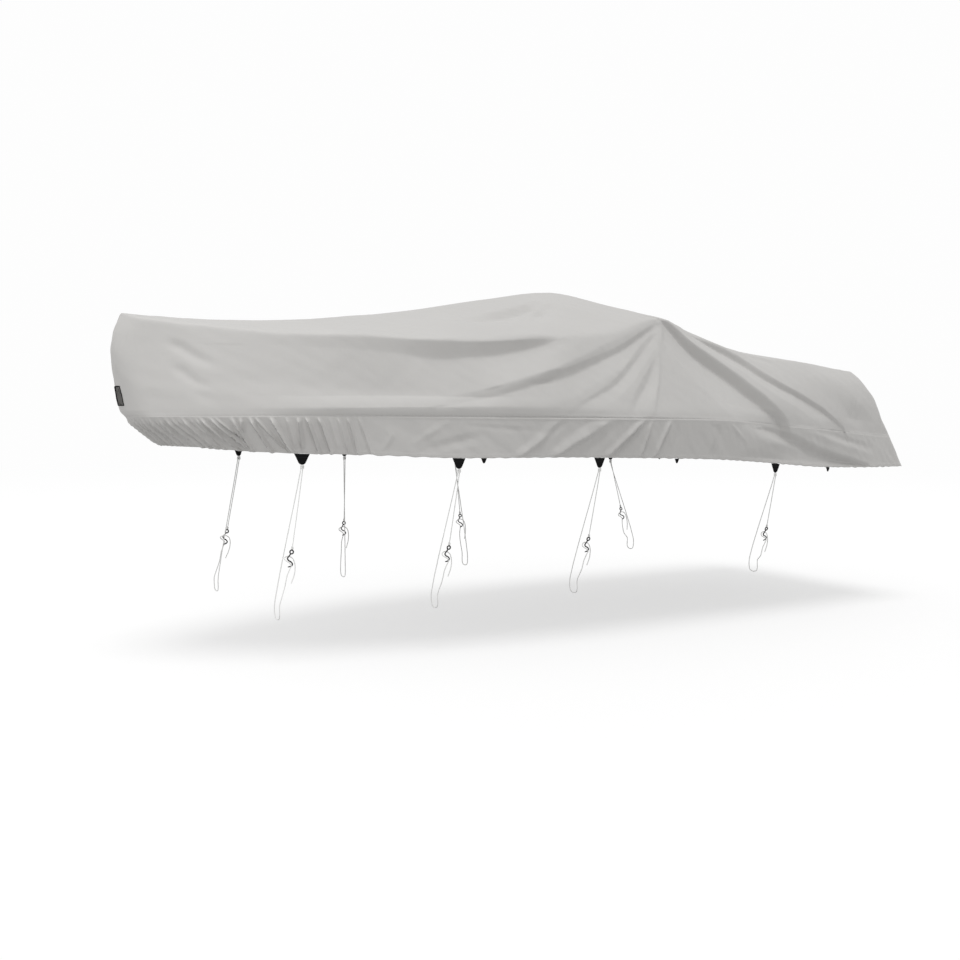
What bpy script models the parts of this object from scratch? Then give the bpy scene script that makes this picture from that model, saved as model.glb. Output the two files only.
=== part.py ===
"""Fitted boat cover with tie-down lines, hollow, as it hangs when it is fitted.

Frame: metres, +Z up, +X towards the stern, -Y the port side. The origin is
the point under the top of the roof where the cover is held up.

The cloth is two sewn panels: a shell over the top and sides, and a gathered
skirt below the waist seam. Black webbing tabs hang from the hem. Each large
tab carries a short leg that ends in a hook, and a long line that hangs in a
narrow loop and comes back up to the hook, where its tail falls free.
"""

import math
from collections import namedtuple

import bmesh
import bpy
import numpy as np
from mathutils import Vector

# ---------------------------------------------------------------- driving sizes
CLOTH = 0.0025           # cloth thickness
GAP = 0.0003             # clearance between pieces that touch
RIM_GAP = 0.0006         # the same where two rims have chords of unlike length
SEAM_INSET = 0.016       # the shell turns under this far from rub line to seam
BOW_CAP = 0.13           # length of the rounded front, in plan
STERN_RADIUS = 0.06      # rounding of the two aft corners, in plan
TOP_CAMBER = 1.5         # power of the camber from shoulder to ridge
FAN_ENDS = (-3.0, 2.0)   # past these stations the rows over the top fan out
RIDGE_INSET = 0.10       # the ridge's vertices stop this short of bow and stern

WEBBING = 0.003          # thickness of the black tabs
TAB_TOP, TAB_FOOT, TAB_DROP = 0.100, 0.034, 0.078
LOOP_TOP, LOOP_FOOT, LOOP_DROP = 0.046, 0.014, 0.038

CORD = 0.007             # diameter of the tie lines
CORD_PITCH = 0.0125      # spacing of the two lines where they leave a tab
CORD_LEAD = 0.012        # both hang straight down this far before they slant
LOOP_WIDTH = 0.10        # width of the loop at the foot of a long line
LOOP_RADIUS = 0.035      # rounding of that loop
EYE_SHARE = 0.56         # how far down from tab to loop the hook's eye hangs
EYE_OFFSET = 0.015       # the eye hangs this far aft of the straight line
HOOK_ROD = 0.005         # radius of the hook's rod
HOOK_EYE = 0.013         # radius of the eye, to the middle of its rod

# One row for each section across the cover, from bow to stern: station, half
# breadths at the rub line, the hem and the shoulder, how full the side stays on
# its way up (1 is straight), then heights of the hem, the seam, the rub line
# above the seam, the shoulder and the ridge.
SECTION_COLUMNS = ("x", "rub_half", "hem_half", "shoulder_half", "fullness",
                   "hem_z", "seam_z", "rub_rise", "shoulder_z", "ridge_z")
SECTIONS = (
    (-3.60, 0.120, 0.020, 0.100, 1.4, -1.235, -1.027, 0.025, -0.315, -0.298),
    (-3.20, 0.380, 0.100, 0.300, 1.4, -1.238, -1.025, 0.035, -0.360, -0.312),
    (-2.90, 0.560, 0.380, 0.450, 1.4, -1.256, -1.024, 0.042, -0.390, -0.318),
    (-2.60, 0.720, 0.600, 0.600, 1.4, -1.280, -1.022, 0.045, -0.420, -0.317),
    (-2.00, 0.920, 0.860, 0.800, 1.4, -1.300, -1.023, 0.058, -0.440, -0.296),
    (-1.30, 1.080, 1.045, 0.930, 1.5, -1.333, -1.033, 0.066, -0.460, -0.216),
    (-0.50, 1.170, 1.140, 0.980, 1.4, -1.345, -1.046, 0.055, -0.420, -0.073),
    (0.12, 1.200, 1.165, 0.930, 1.2, -1.364, -1.056, 0.035, -0.370, 0.0073),
    (0.65, 1.200, 1.170, 0.850, 1.1, -1.383, -1.066, 0.028, -0.240, -0.062),
    (1.10, 1.200, 1.170, 0.850, 1.3, -1.405, -1.080, 0.025, -0.378, -0.200),
    (1.45, 1.195, 1.170, 0.860, 1.6, -1.432, -1.105, 0.025, -0.484, -0.340),
    (1.80, 1.185, 1.168, 0.870, 1.9, -1.463, -1.137, 0.025, -0.537, -0.440),
    (2.30, 1.165, 1.163, 0.870, 2.4, -1.503, -1.178, 0.025, -0.594, -0.520),
    (3.00, 1.120, 1.150, 0.850, 3.4, -1.523, -1.240, 0.025, -0.655, -0.600),
    (3.40, 1.110, 1.145, 0.840, 3.6, -1.526, -1.267, 0.025, -0.670, -0.630),
)

# Where the outline starts at the bow and ends at the stern, by rise up the
# side: 0 at the rub line, 1 at the shoulder.
END_COLUMNS = ("rise", "bow_x", "stern_x")
SIDE_ENDS = (
    (0.00, -3.500, 3.165),
    (0.25, -3.545, 3.085),
    (0.60, -3.571, 3.020),
    (0.80, -3.550, 3.015),
    (1.00, -3.489, 2.965),
)
SEAM_ENDS = (-3.468, 3.180)
HEM_ENDS = (-3.226, 3.305)

# Folds pressed into the port side. Each runs through three points (station and
# height), widens from one half width to another, and is as deep as given; a
# negative depth stands out. The starboard side has them shallower and aft.
Fold = namedtuple("Fold", "x0 z0 x1 z1 x2 z2 from_width to_width depth")
SHELL_FOLDS = (
    (0.58, -0.30, -0.25, -0.62, -1.30, -0.92, 0.070, 0.110, 0.042),
    (0.50, -0.44, 0.10, -0.67, -0.45, -1.00, 0.060, 0.070, 0.022),
    (0.46, -0.58, 0.28, -0.78, 0.10, -1.02, 0.060, 0.060, 0.016),
    (0.72, -0.31, 1.17, -0.66, 1.70, -1.10, 0.070, 0.110, 0.052),
    (0.96, -0.42, 1.38, -0.67, 1.92, -1.05, 0.060, 0.070, -0.016),
    (0.92, -0.35, 1.62, -0.65, 2.55, -1.17, 0.060, 0.070, 0.026),
    (1.50, -0.84, 1.75, -0.95, 2.05, -1.09, 0.060, 0.060, 0.014),
    (-1.95, -0.45, -1.05, -0.53, -0.20, -0.38, 0.080, 0.060, 0.038),
    (-1.10, -0.31, -0.66, -0.24, -0.26, -0.12, 0.045, 0.040, 0.014),
    (-3.20, -0.50, -3.08, -0.60, -2.92, -0.70, 0.040, 0.050, 0.012),
    (-3.16, -0.66, -2.96, -0.78, -2.74, -0.90, 0.050, 0.060, 0.012),
    (2.35, -0.70, 2.62, -0.84, 2.84, -1.02, 0.070, 0.090, 0.032),
)
SKIRT_FOLDS = (
    (-1.60, -1.24, -1.40, -1.22, -1.20, -1.18, 0.030, 0.030, 0.010),
    (-0.46, -1.06, -0.62, -1.20, -0.82, -1.34, 0.040, 0.050, -0.016),
    (0.06, -1.06, -0.12, -1.20, -0.34, -1.34, 0.060, 0.070, 0.026),
    (0.26, -1.06, 0.10, -1.20, -0.06, -1.35, 0.035, 0.040, -0.018),
    (0.32, -1.07, 0.25, -1.20, 0.16, -1.35, 0.035, 0.040, 0.018),
    (0.54, -1.07, 0.48, -1.20, 0.40, -1.35, 0.040, 0.045, 0.016),
    (0.98, -1.16, 0.97, -1.25, 0.96, -1.36, 0.030, 0.060, 0.018),
    (1.66, -1.13, 2.22, -1.30, 2.84, -1.48, 0.050, 0.070, 0.030),
    (1.90, -1.15, 2.40, -1.27, 2.95, -1.40, 0.040, 0.050, -0.014),
)
STARBOARD_SHIFT, STARBOARD_SHARE = 0.08, 0.8
FOLD_START, FOLD_END = 0.35, 0.2     # share of a fold's depth at its two ends
FOLDS_STOP, FOLDS_FADE = 2.98, 0.12  # folds fade out ahead of the aft corner

# The skirt is gathered in slanting pleats from the bow to here, then fades.
PLEAT_END, PLEAT_FADE, PLEAT_DEPTH = -2.15, 0.75, 0.013

# Large tabs with tie lines: station of the tab, then station, half breadth and
# height of the foot of its loop. Small tabs: station alone.
Tie = namedtuple("Tie", "tab_x loop_x loop_half loop_z")
TIES = (
    (-2.416, -2.617, 0.750, -2.453),
    (-1.335, -1.440, 0.900, -2.451),
    (-0.156, -0.201, 0.930, -2.442),
    (1.685, 1.726, 0.930, -2.418),
)
SMALL_TABS = (-1.142, 0.601, 2.320)

# Shape of the hook and of the line round it, as (aft, down, outward) from the
# middle of the eye, seen from outside the cover.
HOOK_PATH = ((-0.004, 0.0115, 0.0), (-0.014, 0.030, 0.0), (-0.024, 0.048, 0.0),
             (-0.014, 0.062, 0.0), (0.008, 0.072, 0.0), (0.019, 0.086, 0.0),
             (0.009, 0.101, 0.0), (-0.012, 0.108, 0.0))
WRAP_PATH = ((-0.015, 0.250, 0.004), (-0.013, 0.170, 0.010), (0.000, 0.118, 0.015),
             (0.006, 0.098, 0.016), (-0.010, 0.079, 0.016), (-0.032, 0.068, 0.012),
             (-0.046, 0.056, 0.000), (-0.036, 0.041, -0.014), (-0.008, 0.034, -0.018),
             (0.022, 0.047, -0.016), (0.040, 0.080, -0.010), (0.046, 0.125, -0.004),
             (0.042, 0.170, 0.000), (0.029, 0.220, 0.002))

# Mesh of the two panels: where the ring's vertices lie and the rows over it.
SHELL_BOW = (0.0, 0.14, 0.40, 0.70)
SHELL_SIDE = (-3.34, (-1.0, 12), (0.3, 9), (2.0, 17), (2.96, 9))
SHELL_RISES = (0.0, 0.08, 0.26, 0.40, 0.54, 0.68, 0.82, 0.94, 1.0)
SHELL_TOPS = (0.08, 0.30, 0.62, 1.0)
SKIRT_BOW = (0.0, 0.25, 0.50, 0.75)
SKIRT_SIDE = (-3.30, (-2.0, 26), (-0.6, 12), (0.3, 14), (1.0, 7), (3.1, 20))
SKIRT_DROPS = (1.0, 0.67, 0.33, 0.0)
CORNER_STEPS, TRANSOM_STEPS = 2, 4
SLOT_RISES = (0.08, 0.26)        # the slot in the bow lies between these rows
HOOK_SEGMENTS, ROD_SEGMENTS = 12, 6
CORD_TURN, HOOK_TURN = math.radians(15), math.radians(24)   # most turn for a chord
ROUTE_STEP, LONGEST_CHORD = 0.006, 0.40


# ------------------------------------------------------------------ cover shape
def pchip(knots, values, at):
    """Monotone cubic through the knots, so that no table row overshoots."""
    knots, values = np.asarray(knots, float), np.asarray(values, float)
    steps = np.diff(knots)
    slopes = np.diff(values) / steps
    tangents = np.zeros_like(values)
    tangents[0], tangents[-1] = slopes[0], slopes[-1]
    for i in range(1, len(knots) - 1):
        if slopes[i - 1] * slopes[i] > 0.0:
            near = 2.0 * steps[i] + steps[i - 1]
            far = steps[i] + 2.0 * steps[i - 1]
            tangents[i] = (near + far) / (near / slopes[i - 1] + far / slopes[i])
    at = np.clip(np.asarray(at, float), knots[0], knots[-1])
    i = np.clip(np.searchsorted(knots, at) - 1, 0, len(steps) - 1)
    t = (at - knots[i]) / steps[i]
    return (values[i] * (1 + 2 * t) * (1 - t) ** 2
            + tangents[i] * steps[i] * t * (1 - t) ** 2
            + values[i + 1] * t * t * (3 - 2 * t)
            + tangents[i + 1] * steps[i] * t * t * (t - 1))


def section(column, x):
    """A column of the section table at any station."""
    rows = np.array(SECTIONS)
    return pchip(rows[:, 0], rows[:, SECTION_COLUMNS.index(column)], x)


def side_end(column, rise):
    """Bow or stern end of the outline at a rise up the side."""
    rows = np.array(SIDE_ENDS)
    return float(pchip(rows[:, 0], rows[:, END_COLUMNS.index(column)], rise))


def top_z(x, y):
    """Height of the top at a point in plan, cambered from ridge to shoulder."""
    ridge, shoulder = section("ridge_z", x), section("shoulder_z", x)
    share = np.minimum(np.abs(y) / section("shoulder_half", x), 1.0)
    return ridge - (ridge - shoulder) * share ** TOP_CAMBER


# A half ring runs from the middle of the bow down one side to the middle of the
# stern. A place on it is (zone, share): rounded bow, side, aft corner, transom.
BOW, SIDE, CORNER, TRANSOM = range(4)


def half_ring(bow_shares, side_runs):
    """Places along a half ring; side_runs gives (end station, steps) in turn."""
    places = [(BOW, share) for share in bow_shares]
    first, start = side_runs[0], side_runs[0]
    reach = side_runs[-1][0] - first
    for end, steps in side_runs[1:]:
        stations = [start + (end - start) * k / steps for k in range(steps)]
        places += [(SIDE, (station - first) / reach) for station in stations]
        start = end
    places += [(CORNER, k / CORNER_STEPS) for k in range(CORNER_STEPS)]
    places += [(TRANSOM, k / TRANSOM_STEPS) for k in range(TRANSOM_STEPS + 1)]
    return places


def outline(places, bow_x, stern_x, half_at):
    """Plan points (x, y >= 0) of one outline of the cover."""
    side_start, side_stop = bow_x + BOW_CAP, stern_x - STERN_RADIUS
    bow_half, stern_half = float(half_at(side_start)), float(half_at(side_stop))
    points = []
    for zone, share in places:
        angle = share * math.pi / 2
        if zone == BOW:
            point = (bow_x + BOW_CAP * (1 - math.cos(angle)), bow_half * math.sin(angle))
        elif zone == SIDE:
            x = side_start + (side_stop - side_start) * share
            point = (x, float(half_at(x)))
        elif zone == CORNER:
            point = (side_stop + STERN_RADIUS * math.sin(angle),
                     stern_half - STERN_RADIUS * (1 - math.cos(angle)))
        else:
            point = (stern_x, (stern_half - STERN_RADIUS) * (1 - share))
        points.append(point)
    return np.array(points).T


def side_row(places, rise):
    """One row of the shell's side, 0 at the rub line and 1 at the shoulder."""
    def half_at(x):
        lean = rise ** section("fullness", x)
        return section("rub_half", x) * (1 - lean) + section("shoulder_half", x) * lean

    def edge_half(x):
        return section("shoulder_half", x)

    x, y = outline(places, side_end("bow_x", rise), side_end("stern_x", rise), half_at)
    edge = outline(places, side_end("bow_x", 1.0), side_end("stern_x", 1.0), edge_half)
    rub_z = section("seam_z", x) + section("rub_rise", x)
    return np.stack([x, y, rub_z * (1 - rise) + top_z(*edge) * rise], -1)


def top_row(places, share):
    """One row of the top, 0 at the shoulder and 1 on the ridge."""
    edge = side_row(places, 1.0)
    ridge_x = edge[:, 0].copy()
    fore, aft = (int(np.argmax(edge[:, 0] > station)) for station in FAN_ENDS)
    ridge_x[:fore + 1] = np.linspace(edge[0, 0] + RIDGE_INSET, edge[fore, 0], fore + 1)
    ridge_x[aft:] = np.linspace(edge[aft, 0], edge[-1, 0] - RIDGE_INSET, len(places) - aft)
    x = edge[:, 0] * (1 - share) + ridge_x * share
    y = edge[:, 1] * (1 - share)
    return np.stack([x, y, top_z(x, y)], -1)


def seam_row(places):
    """The waist seam, where the shell turns under and the skirt begins."""
    x, y = outline(places, *SEAM_ENDS, lambda at: section("rub_half", at) - SEAM_INSET)
    return np.stack([x, y, section("seam_z", x)], -1)


def hem_row(places):
    """The lower edge of the skirt."""
    x, y = outline(places, *HEM_ENDS, lambda at: section("hem_half", at))
    return np.stack([x, y, section("hem_z", x)], -1)


# ------------------------------------------------------------------------ folds
def through(first, middle, last, along):
    """Parabola through three values, the middle one half way along."""
    pull = 2 * middle - (first + last) / 2
    return first * (1 - along) ** 2 + 2 * pull * along * (1 - along) + last * along ** 2


def fold_depth(folds, x, z):
    """Depth that the folds press into the cloth at stations and heights."""
    depth = np.zeros_like(x)
    along = np.linspace(0.0, 1.0, 25)
    for fold in map(Fold._make, folds):
        curve_x = through(fold.x0, fold.x1, fold.x2, along)
        curve_z = through(fold.z0, fold.z1, fold.z2, along)
        away = np.hypot(x[..., None] - curve_x, z[..., None] - curve_z)
        t = along[away.argmin(-1)]
        width = fold.from_width + (fold.to_width - fold.from_width) * t
        fade = np.minimum(1.0, FOLD_START + t / 0.15) * np.minimum(1.0, FOLD_END + (1 - t) / 0.3)
        depth += fold.depth * fade * np.exp(-(away.min(-1) / width) ** 2)
    return depth


def pleat_depth(x, drop):
    """Zigzag of the gathered pleats, from vertex to vertex along the skirt."""
    order = np.arange(x.shape[-1])
    uneven = 0.75 + 0.25 * np.sin(1.7 * order) + 0.2 * np.sin(0.6 * order + 1.0)
    fade = np.clip((PLEAT_END + PLEAT_FADE - x) / PLEAT_FADE, 0.0, 1.0)
    return PLEAT_DEPTH * fade * uneven * (-1.0) ** order * np.sin(math.pi * drop)


def outward(rings):
    """Outward normals of a grid of closed rings, stacked from low to high."""
    around = np.roll(rings, -1, axis=1) - np.roll(rings, 1, axis=1)
    up = np.gradient(rings, axis=0)
    normals = np.cross(around, up)
    return normals / np.maximum(np.linalg.norm(normals, axis=2, keepdims=True), 1e-9)


def level(normals):
    """Normals turned level, for a rim that meets its neighbour flat."""
    flat = normals * np.array([1.0, 1.0, 0.0])
    return flat / np.linalg.norm(flat, axis=-1, keepdims=True)


def full_rings(rows):
    """Half rings, bow to stern, mirrored into closed rings, port side first."""
    port = rows * np.array([1.0, -1.0, 1.0])
    return np.concatenate([port, rows[:, -2:0:-1, :]], axis=1)


def fold_rings(rings, half, folds, share):
    """Press the folds into both sides of the rings, by a share for each row."""
    depth = np.zeros(rings.shape[:2])
    port = slice(0, half + 1)
    starboard = slice(half + 1, None)
    depth[:, port] = fold_depth(folds, rings[:, port, 0], rings[:, port, 2])
    shifted = rings[:, starboard, 0] - STARBOARD_SHIFT
    depth[:, starboard] = STARBOARD_SHARE * fold_depth(folds, shifted, rings[:, starboard, 2])
    on_side = np.clip((FOLDS_STOP - rings[..., 0]) / FOLDS_FADE, 0.0, 1.0)
    depth *= on_side * np.asarray(share)[:, None]
    return rings - depth[..., None] * outward(rings)


# ------------------------------------------------------------------- mesh making
def new_object(name, mesh, material):
    mesh.materials.clear()
    mesh.materials.append(material)
    item = bpy.data.objects.new(name, mesh)
    bpy.context.collection.objects.link(item)
    return item


def plain_material(name, colour, roughness):
    material = bpy.data.materials.new(name)
    material.use_nodes = True
    shader = material.node_tree.nodes["Principled BSDF"]
    shader.inputs["Base Color"].default_value = (*colour, 1.0)
    shader.inputs["Roughness"].default_value = roughness
    shader.inputs["Metallic"].default_value = 0.0
    return material


def cloth_solid(name, rings, normals, material, ridge=False, holes=()):
    """Closed solid between a grid of rings and its copy one thickness inside.

    With ridge set, both halves of the last ring share their vertices. Holes
    lists (row, column) cells that stay open. Both faces of a cell are split
    along the same diagonal, the shorter one, so that the cloth keeps its
    thickness.
    """
    count = rings.shape[1]
    half = count // 2
    bm = bmesh.new()
    sheets = []
    for points in (rings, rings - CLOTH * normals):
        grid = []
        for row, ring in enumerate(points):
            if ridge and row == len(points) - 1:
                spine = [bm.verts.new((ring[k][0], 0.0, ring[k][2])) for k in range(half + 1)]
                grid.append(spine + spine[half - 1:0:-1])
            else:
                grid.append([bm.verts.new(point) for point in ring])
        sheets.append(grid)
    outer, inner = sheets
    for row in range(len(rings) - 1):
        for k in range(count):
            if (row, k) in holes:
                continue
            cell = [(row, k), (row, (k + 1) % count), (row + 1, (k + 1) % count), (row + 1, k)]
            a, b, c, d = (outer[r][q].co for r, q in cell)
            if (a - c).length > (b - d).length:
                cell = cell[1:] + cell[:1]
            for half_cell in (cell[:3], [cell[0], cell[2], cell[3]]):
                bm.faces.new([outer[r][q] for r, q in half_cell])
                bm.faces.new([inner[r][q] for r, q in reversed(half_cell)])
    rim = {outer[row][k]: inner[row][k] for row in range(len(rings)) for k in range(count)}
    open_edges = [edge for edge in bm.edges if len(edge.link_faces) == 1
                  and edge.verts[0] in rim and edge.verts[1] in rim]
    for edge in open_edges:
        a, b = edge.verts
        bm.faces.new((a, b, rim[b], rim[a]))
    bmesh.ops.recalc_face_normals(bm, faces=bm.faces)
    mesh = bpy.data.meshes.new(name)
    bm.to_mesh(mesh)
    bm.free()
    mesh.shade_smooth()
    mesh.set_sharp_from_angle(angle=math.radians(50))
    return new_object(name, mesh, material)


def build_shell(material):
    places = half_ring(SHELL_BOW, SHELL_SIDE)
    half = len(places) - 1
    rows = [seam_row(places)] + [side_row(places, rise) for rise in SHELL_RISES]
    rows += [top_row(places, share) for share in SHELL_TOPS]
    rings = full_rings(np.array(rows))
    share = np.ones(len(rows))
    share[0], share[1], share[-1] = 0.0, 0.35, 0.0
    rings = fold_rings(rings, half, SHELL_FOLDS, share)
    normals = outward(rings)
    normals[0] = level(normals[0])
    normals[-1] = (0.0, 0.0, 1.0)
    low, high = (1 + SHELL_RISES.index(rise) for rise in SLOT_RISES)
    holes = {(row, k) for row in range(low, high) for k in (0, rings.shape[1] - 1)}
    return cloth_solid("shell", rings, normals, material, ridge=True, holes=holes)


def build_skirt(material):
    places = half_ring(SKIRT_BOW, SKIRT_SIDE)
    half = len(places) - 1
    seam, hem = seam_row(places), hem_row(places)
    rings = full_rings(np.array([seam * (1 - drop) + hem * drop for drop in SKIRT_DROPS]))
    drops = np.array(SKIRT_DROPS)
    normals = outward(rings)
    pleats = pleat_depth(rings[..., 0], drops[:, None])
    rings = rings + pleats[..., None] * level(normals)
    rings = fold_rings(rings, half, SKIRT_FOLDS, np.sin(math.pi * drops))
    normals = outward(rings)
    normals[0], normals[-1] = level(normals[0]), level(normals[-1])
    rings[-1, :, 2] -= RIM_GAP
    return cloth_solid("skirt", rings, normals, material)


# ------------------------------------------------------------------ tabs and ties
def hem_frame(x):
    """Port hem point at a station, its direction aft and its outward normal."""
    step = 0.01
    point, ahead = (np.array([at, -float(section("hem_half", at)), float(section("hem_z", at))])
                    for at in (x, x + step))
    aft = (ahead - point) * np.array([1.0, 1.0, 0.0])
    aft /= np.linalg.norm(aft)
    return point, aft, np.array([aft[1], -aft[0], 0.0])


def build_tab(name, x, widths, drop, side, material):
    """Tapered webbing tab, butted under the rim of the hem."""
    top_width, foot_width = widths
    bm = bmesh.new()
    rows = []
    foot, _, _ = hem_frame(x)
    for share in (-0.5, 0.0, 0.5):
        top, _, out = hem_frame(x + share * top_width)
        top = top - np.array([0.0, 0.0, RIM_GAP])
        low = np.array([x + share * foot_width, foot[1] + share * (top[1] - foot[1]),
                        foot[2] - RIM_GAP - drop])
        low[1] = foot[1] + (top[1] - foot[1]) * foot_width / top_width
        column = [top, low, low - WEBBING * out, top - WEBBING * out]
        rows.append([bm.verts.new((px, side * py, pz)) for px, py, pz in column])
    for left, right in zip(rows[:-1], rows[1:]):
        for k in range(4):
            nxt = (k + 1) % 4
            bm.faces.new((left[k], right[k], right[nxt], left[nxt]))
    bm.faces.new(rows[0])
    bm.faces.new(rows[-1][::-1])
    bmesh.ops.recalc_face_normals(bm, faces=bm.faces)
    mesh = bpy.data.meshes.new(name)
    bm.to_mesh(mesh)
    bm.free()
    return new_object(name, mesh, material)


def smooth_route(points, turn=CORD_TURN):
    """Points of a smooth curve through a route, closer where it bends.

    The route's second and last but one points stay, so that both ends are
    straight.
    """
    points = [Vector(p) for p in points]
    ends = [points[0] * 2 - points[1]] + points + [points[-1] * 2 - points[-2]]
    fine, marks = [], []
    for a, b, c, d in zip(ends[:-3], ends[1:-2], ends[2:-1], ends[3:]):
        marks.append(len(fine))
        knots = [0.0]
        for one, two in ((a, b), (b, c), (c, d)):
            knots.append(knots[-1] + max((two - one).length, 1e-6) ** 0.5)
        t0, t1, t2, t3 = knots
        steps = max(2, int((c - b).length / ROUTE_STEP))
        for k in range(steps):
            t = t1 + (t2 - t1) * k / steps
            ab = a * ((t1 - t) / (t1 - t0)) + b * ((t - t0) / (t1 - t0))
            bc = b * ((t2 - t) / (t2 - t1)) + c * ((t - t1) / (t2 - t1))
            cd = c * ((t3 - t) / (t3 - t2)) + d * ((t - t2) / (t3 - t2))
            left = ab * ((t2 - t) / (t2 - t0)) + bc * ((t - t0) / (t2 - t0))
            right = bc * ((t3 - t) / (t3 - t1)) + cd * ((t - t1) / (t3 - t1))
            fine.append(left * ((t2 - t) / (t2 - t1)) + right * ((t - t1) / (t2 - t1)))
    fine.append(points[-1])
    kept, turned, run = [fine[0]], 0.0, 0.0
    for k, (before, here, after) in enumerate(zip(fine[:-2], fine[1:-1], fine[2:]), 1):
        turned += (here - before).angle(after - here, 0.0)
        run += (here - before).length
        if turned > turn or run > LONGEST_CHORD or k in (marks[1], marks[-1]):
            kept.append(here)
            turned, run = 0.0, 0.0
    kept.append(fine[-1])
    return kept


def build_tube(name, points, radius, material):
    """Round cord or rod along points, with closed ends."""
    curve = bpy.data.curves.new(name, "CURVE")
    curve.dimensions = "3D"
    curve.bevel_depth = radius
    curve.bevel_resolution = 2
    curve.use_fill_caps = True
    spline = curve.splines.new("POLY")
    spline.points.add(len(points) - 1)
    for spot, point in zip(spline.points, points):
        spot.co = (*point, 1.0)
    return new_object(name, curve, material)


def tie_frame(tie):
    """Port tie: foot of the tab, middle of the eye, and the hook's directions."""
    point, _, out = hem_frame(tie.tab_x)
    foot = point - np.array([0.0, 0.0, RIM_GAP + TAB_DROP + GAP]) - 0.5 * WEBBING * out
    loop = np.array([tie.loop_x, -tie.loop_half, tie.loop_z])
    down = (loop - foot) / np.linalg.norm(loop - foot)
    aft = np.array([1.0, 0.0, 0.0]) - down[0] * down
    aft /= np.linalg.norm(aft)
    outside = np.cross(down, aft)
    eye = foot + EYE_SHARE * (loop - foot) + EYE_OFFSET * aft
    return foot, loop, eye, (aft, down, outside)


def place(eye, frame, local):
    """A point given as (aft, down, outward) from the eye, in the world."""
    return eye + sum(amount * axis for amount, axis in zip(local, frame))


def leg_route(tie):
    """Short leg, from the tab to the top of the hook's eye."""
    foot, _, eye, frame = tie_frame(tie)
    start = foot + np.array([CORD_PITCH / 2, 0.0, 0.0])
    lead = start - np.array([0.0, 0.0, CORD_LEAD])
    reach = HOOK_EYE + HOOK_ROD + GAP
    near = place(eye, frame, (0.0, -reach - 2 * CORD_LEAD, 0.0))
    return [start, lead, near, place(eye, frame, (0.0, -reach, 0.0))]


def line_route(tie):
    """Long line: down the inboard leg, round the loop, up round the hook, tail."""
    foot, loop, eye, frame = tie_frame(tie)
    start = foot - np.array([CORD_PITCH / 2, 0.0, 0.0])
    lead = start - np.array([0.0, 0.0, CORD_LEAD])
    into, up = np.array([0.0, 1.0, 0.0]), np.array([0.0, 0.0, 1.0])
    corner, bevel = LOOP_RADIUS, LOOP_RADIUS * (1 - math.cos(math.pi / 4))
    back = loop + LOOP_WIDTH * into
    route = [start, lead, back + 3 * corner * up, back + corner * up,
             back - bevel * into + bevel * up, back - corner * into,
             loop + corner * into, loop + bevel * into + bevel * up,
             loop + corner * up, loop + 3 * corner * up]
    return route + [place(eye, frame, local) for local in WRAP_PATH]


def hook_mesh():
    """Hook of round rod, an eye and an S-shaped body in one solid."""
    rod = build_tube("hook_rod", smooth_route(HOOK_PATH, HOOK_TURN), HOOK_ROD, None)
    bm = bmesh.new()
    rings = []
    for k in range(HOOK_SEGMENTS):
        turn = 2 * math.pi * (k + 0.5) / HOOK_SEGMENTS
        spoke = Vector((math.cos(turn), math.sin(turn), 0.0))
        ring = []
        for j in range(ROD_SEGMENTS):
            angle = 2 * math.pi * j / ROD_SEGMENTS
            spot = spoke * (HOOK_EYE + HOOK_ROD * math.cos(angle))
            ring.append(bm.verts.new(spot + Vector((0.0, 0.0, HOOK_ROD * math.sin(angle)))))
        rings.append(ring)
    for k in range(HOOK_SEGMENTS):
        here, nxt = rings[k], rings[(k + 1) % HOOK_SEGMENTS]
        for j in range(ROD_SEGMENTS):
            far = (j + 1) % ROD_SEGMENTS
            bm.faces.new((here[j], nxt[j], nxt[far], here[far]))
    bmesh.ops.recalc_face_normals(bm, faces=bm.faces)
    eye_mesh = bpy.data.meshes.new("hook_eye")
    bm.to_mesh(eye_mesh)
    bm.free()
    eye = bpy.data.objects.new("hook_eye", eye_mesh)
    bpy.context.collection.objects.link(eye)
    depsgraph = bpy.context.evaluated_depsgraph_get()
    rod_mesh = bpy.data.meshes.new_from_object(rod.evaluated_get(depsgraph))
    body = bpy.data.objects.new("hook_body", rod_mesh)
    bpy.context.collection.objects.link(body)
    union = body.modifiers.new("eye", "BOOLEAN")
    union.operation = "UNION"
    union.solver = "EXACT"
    union.object = eye
    depsgraph = bpy.context.evaluated_depsgraph_get()
    joined = bpy.data.meshes.new_from_object(body.evaluated_get(depsgraph))
    for item in (rod, eye, body):
        bpy.data.objects.remove(item, do_unlink=True)
    return joined


def build_hook(name, template, tie, side, material):
    """One hook, its mesh turned into the tie's frame and mirrored to starboard."""
    _, _, eye, frame = tie_frame(tie)
    mesh = template.copy()
    mesh.name = name
    for vertex in mesh.vertices:
        spot = place(eye, frame, tuple(vertex.co))
        vertex.co = (spot[0], side * spot[1], spot[2])
    bm = bmesh.new()
    bm.from_mesh(mesh)
    bmesh.ops.recalc_face_normals(bm, faces=bm.faces)
    bm.to_mesh(mesh)
    bm.free()
    return new_object(name, mesh, material)


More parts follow.
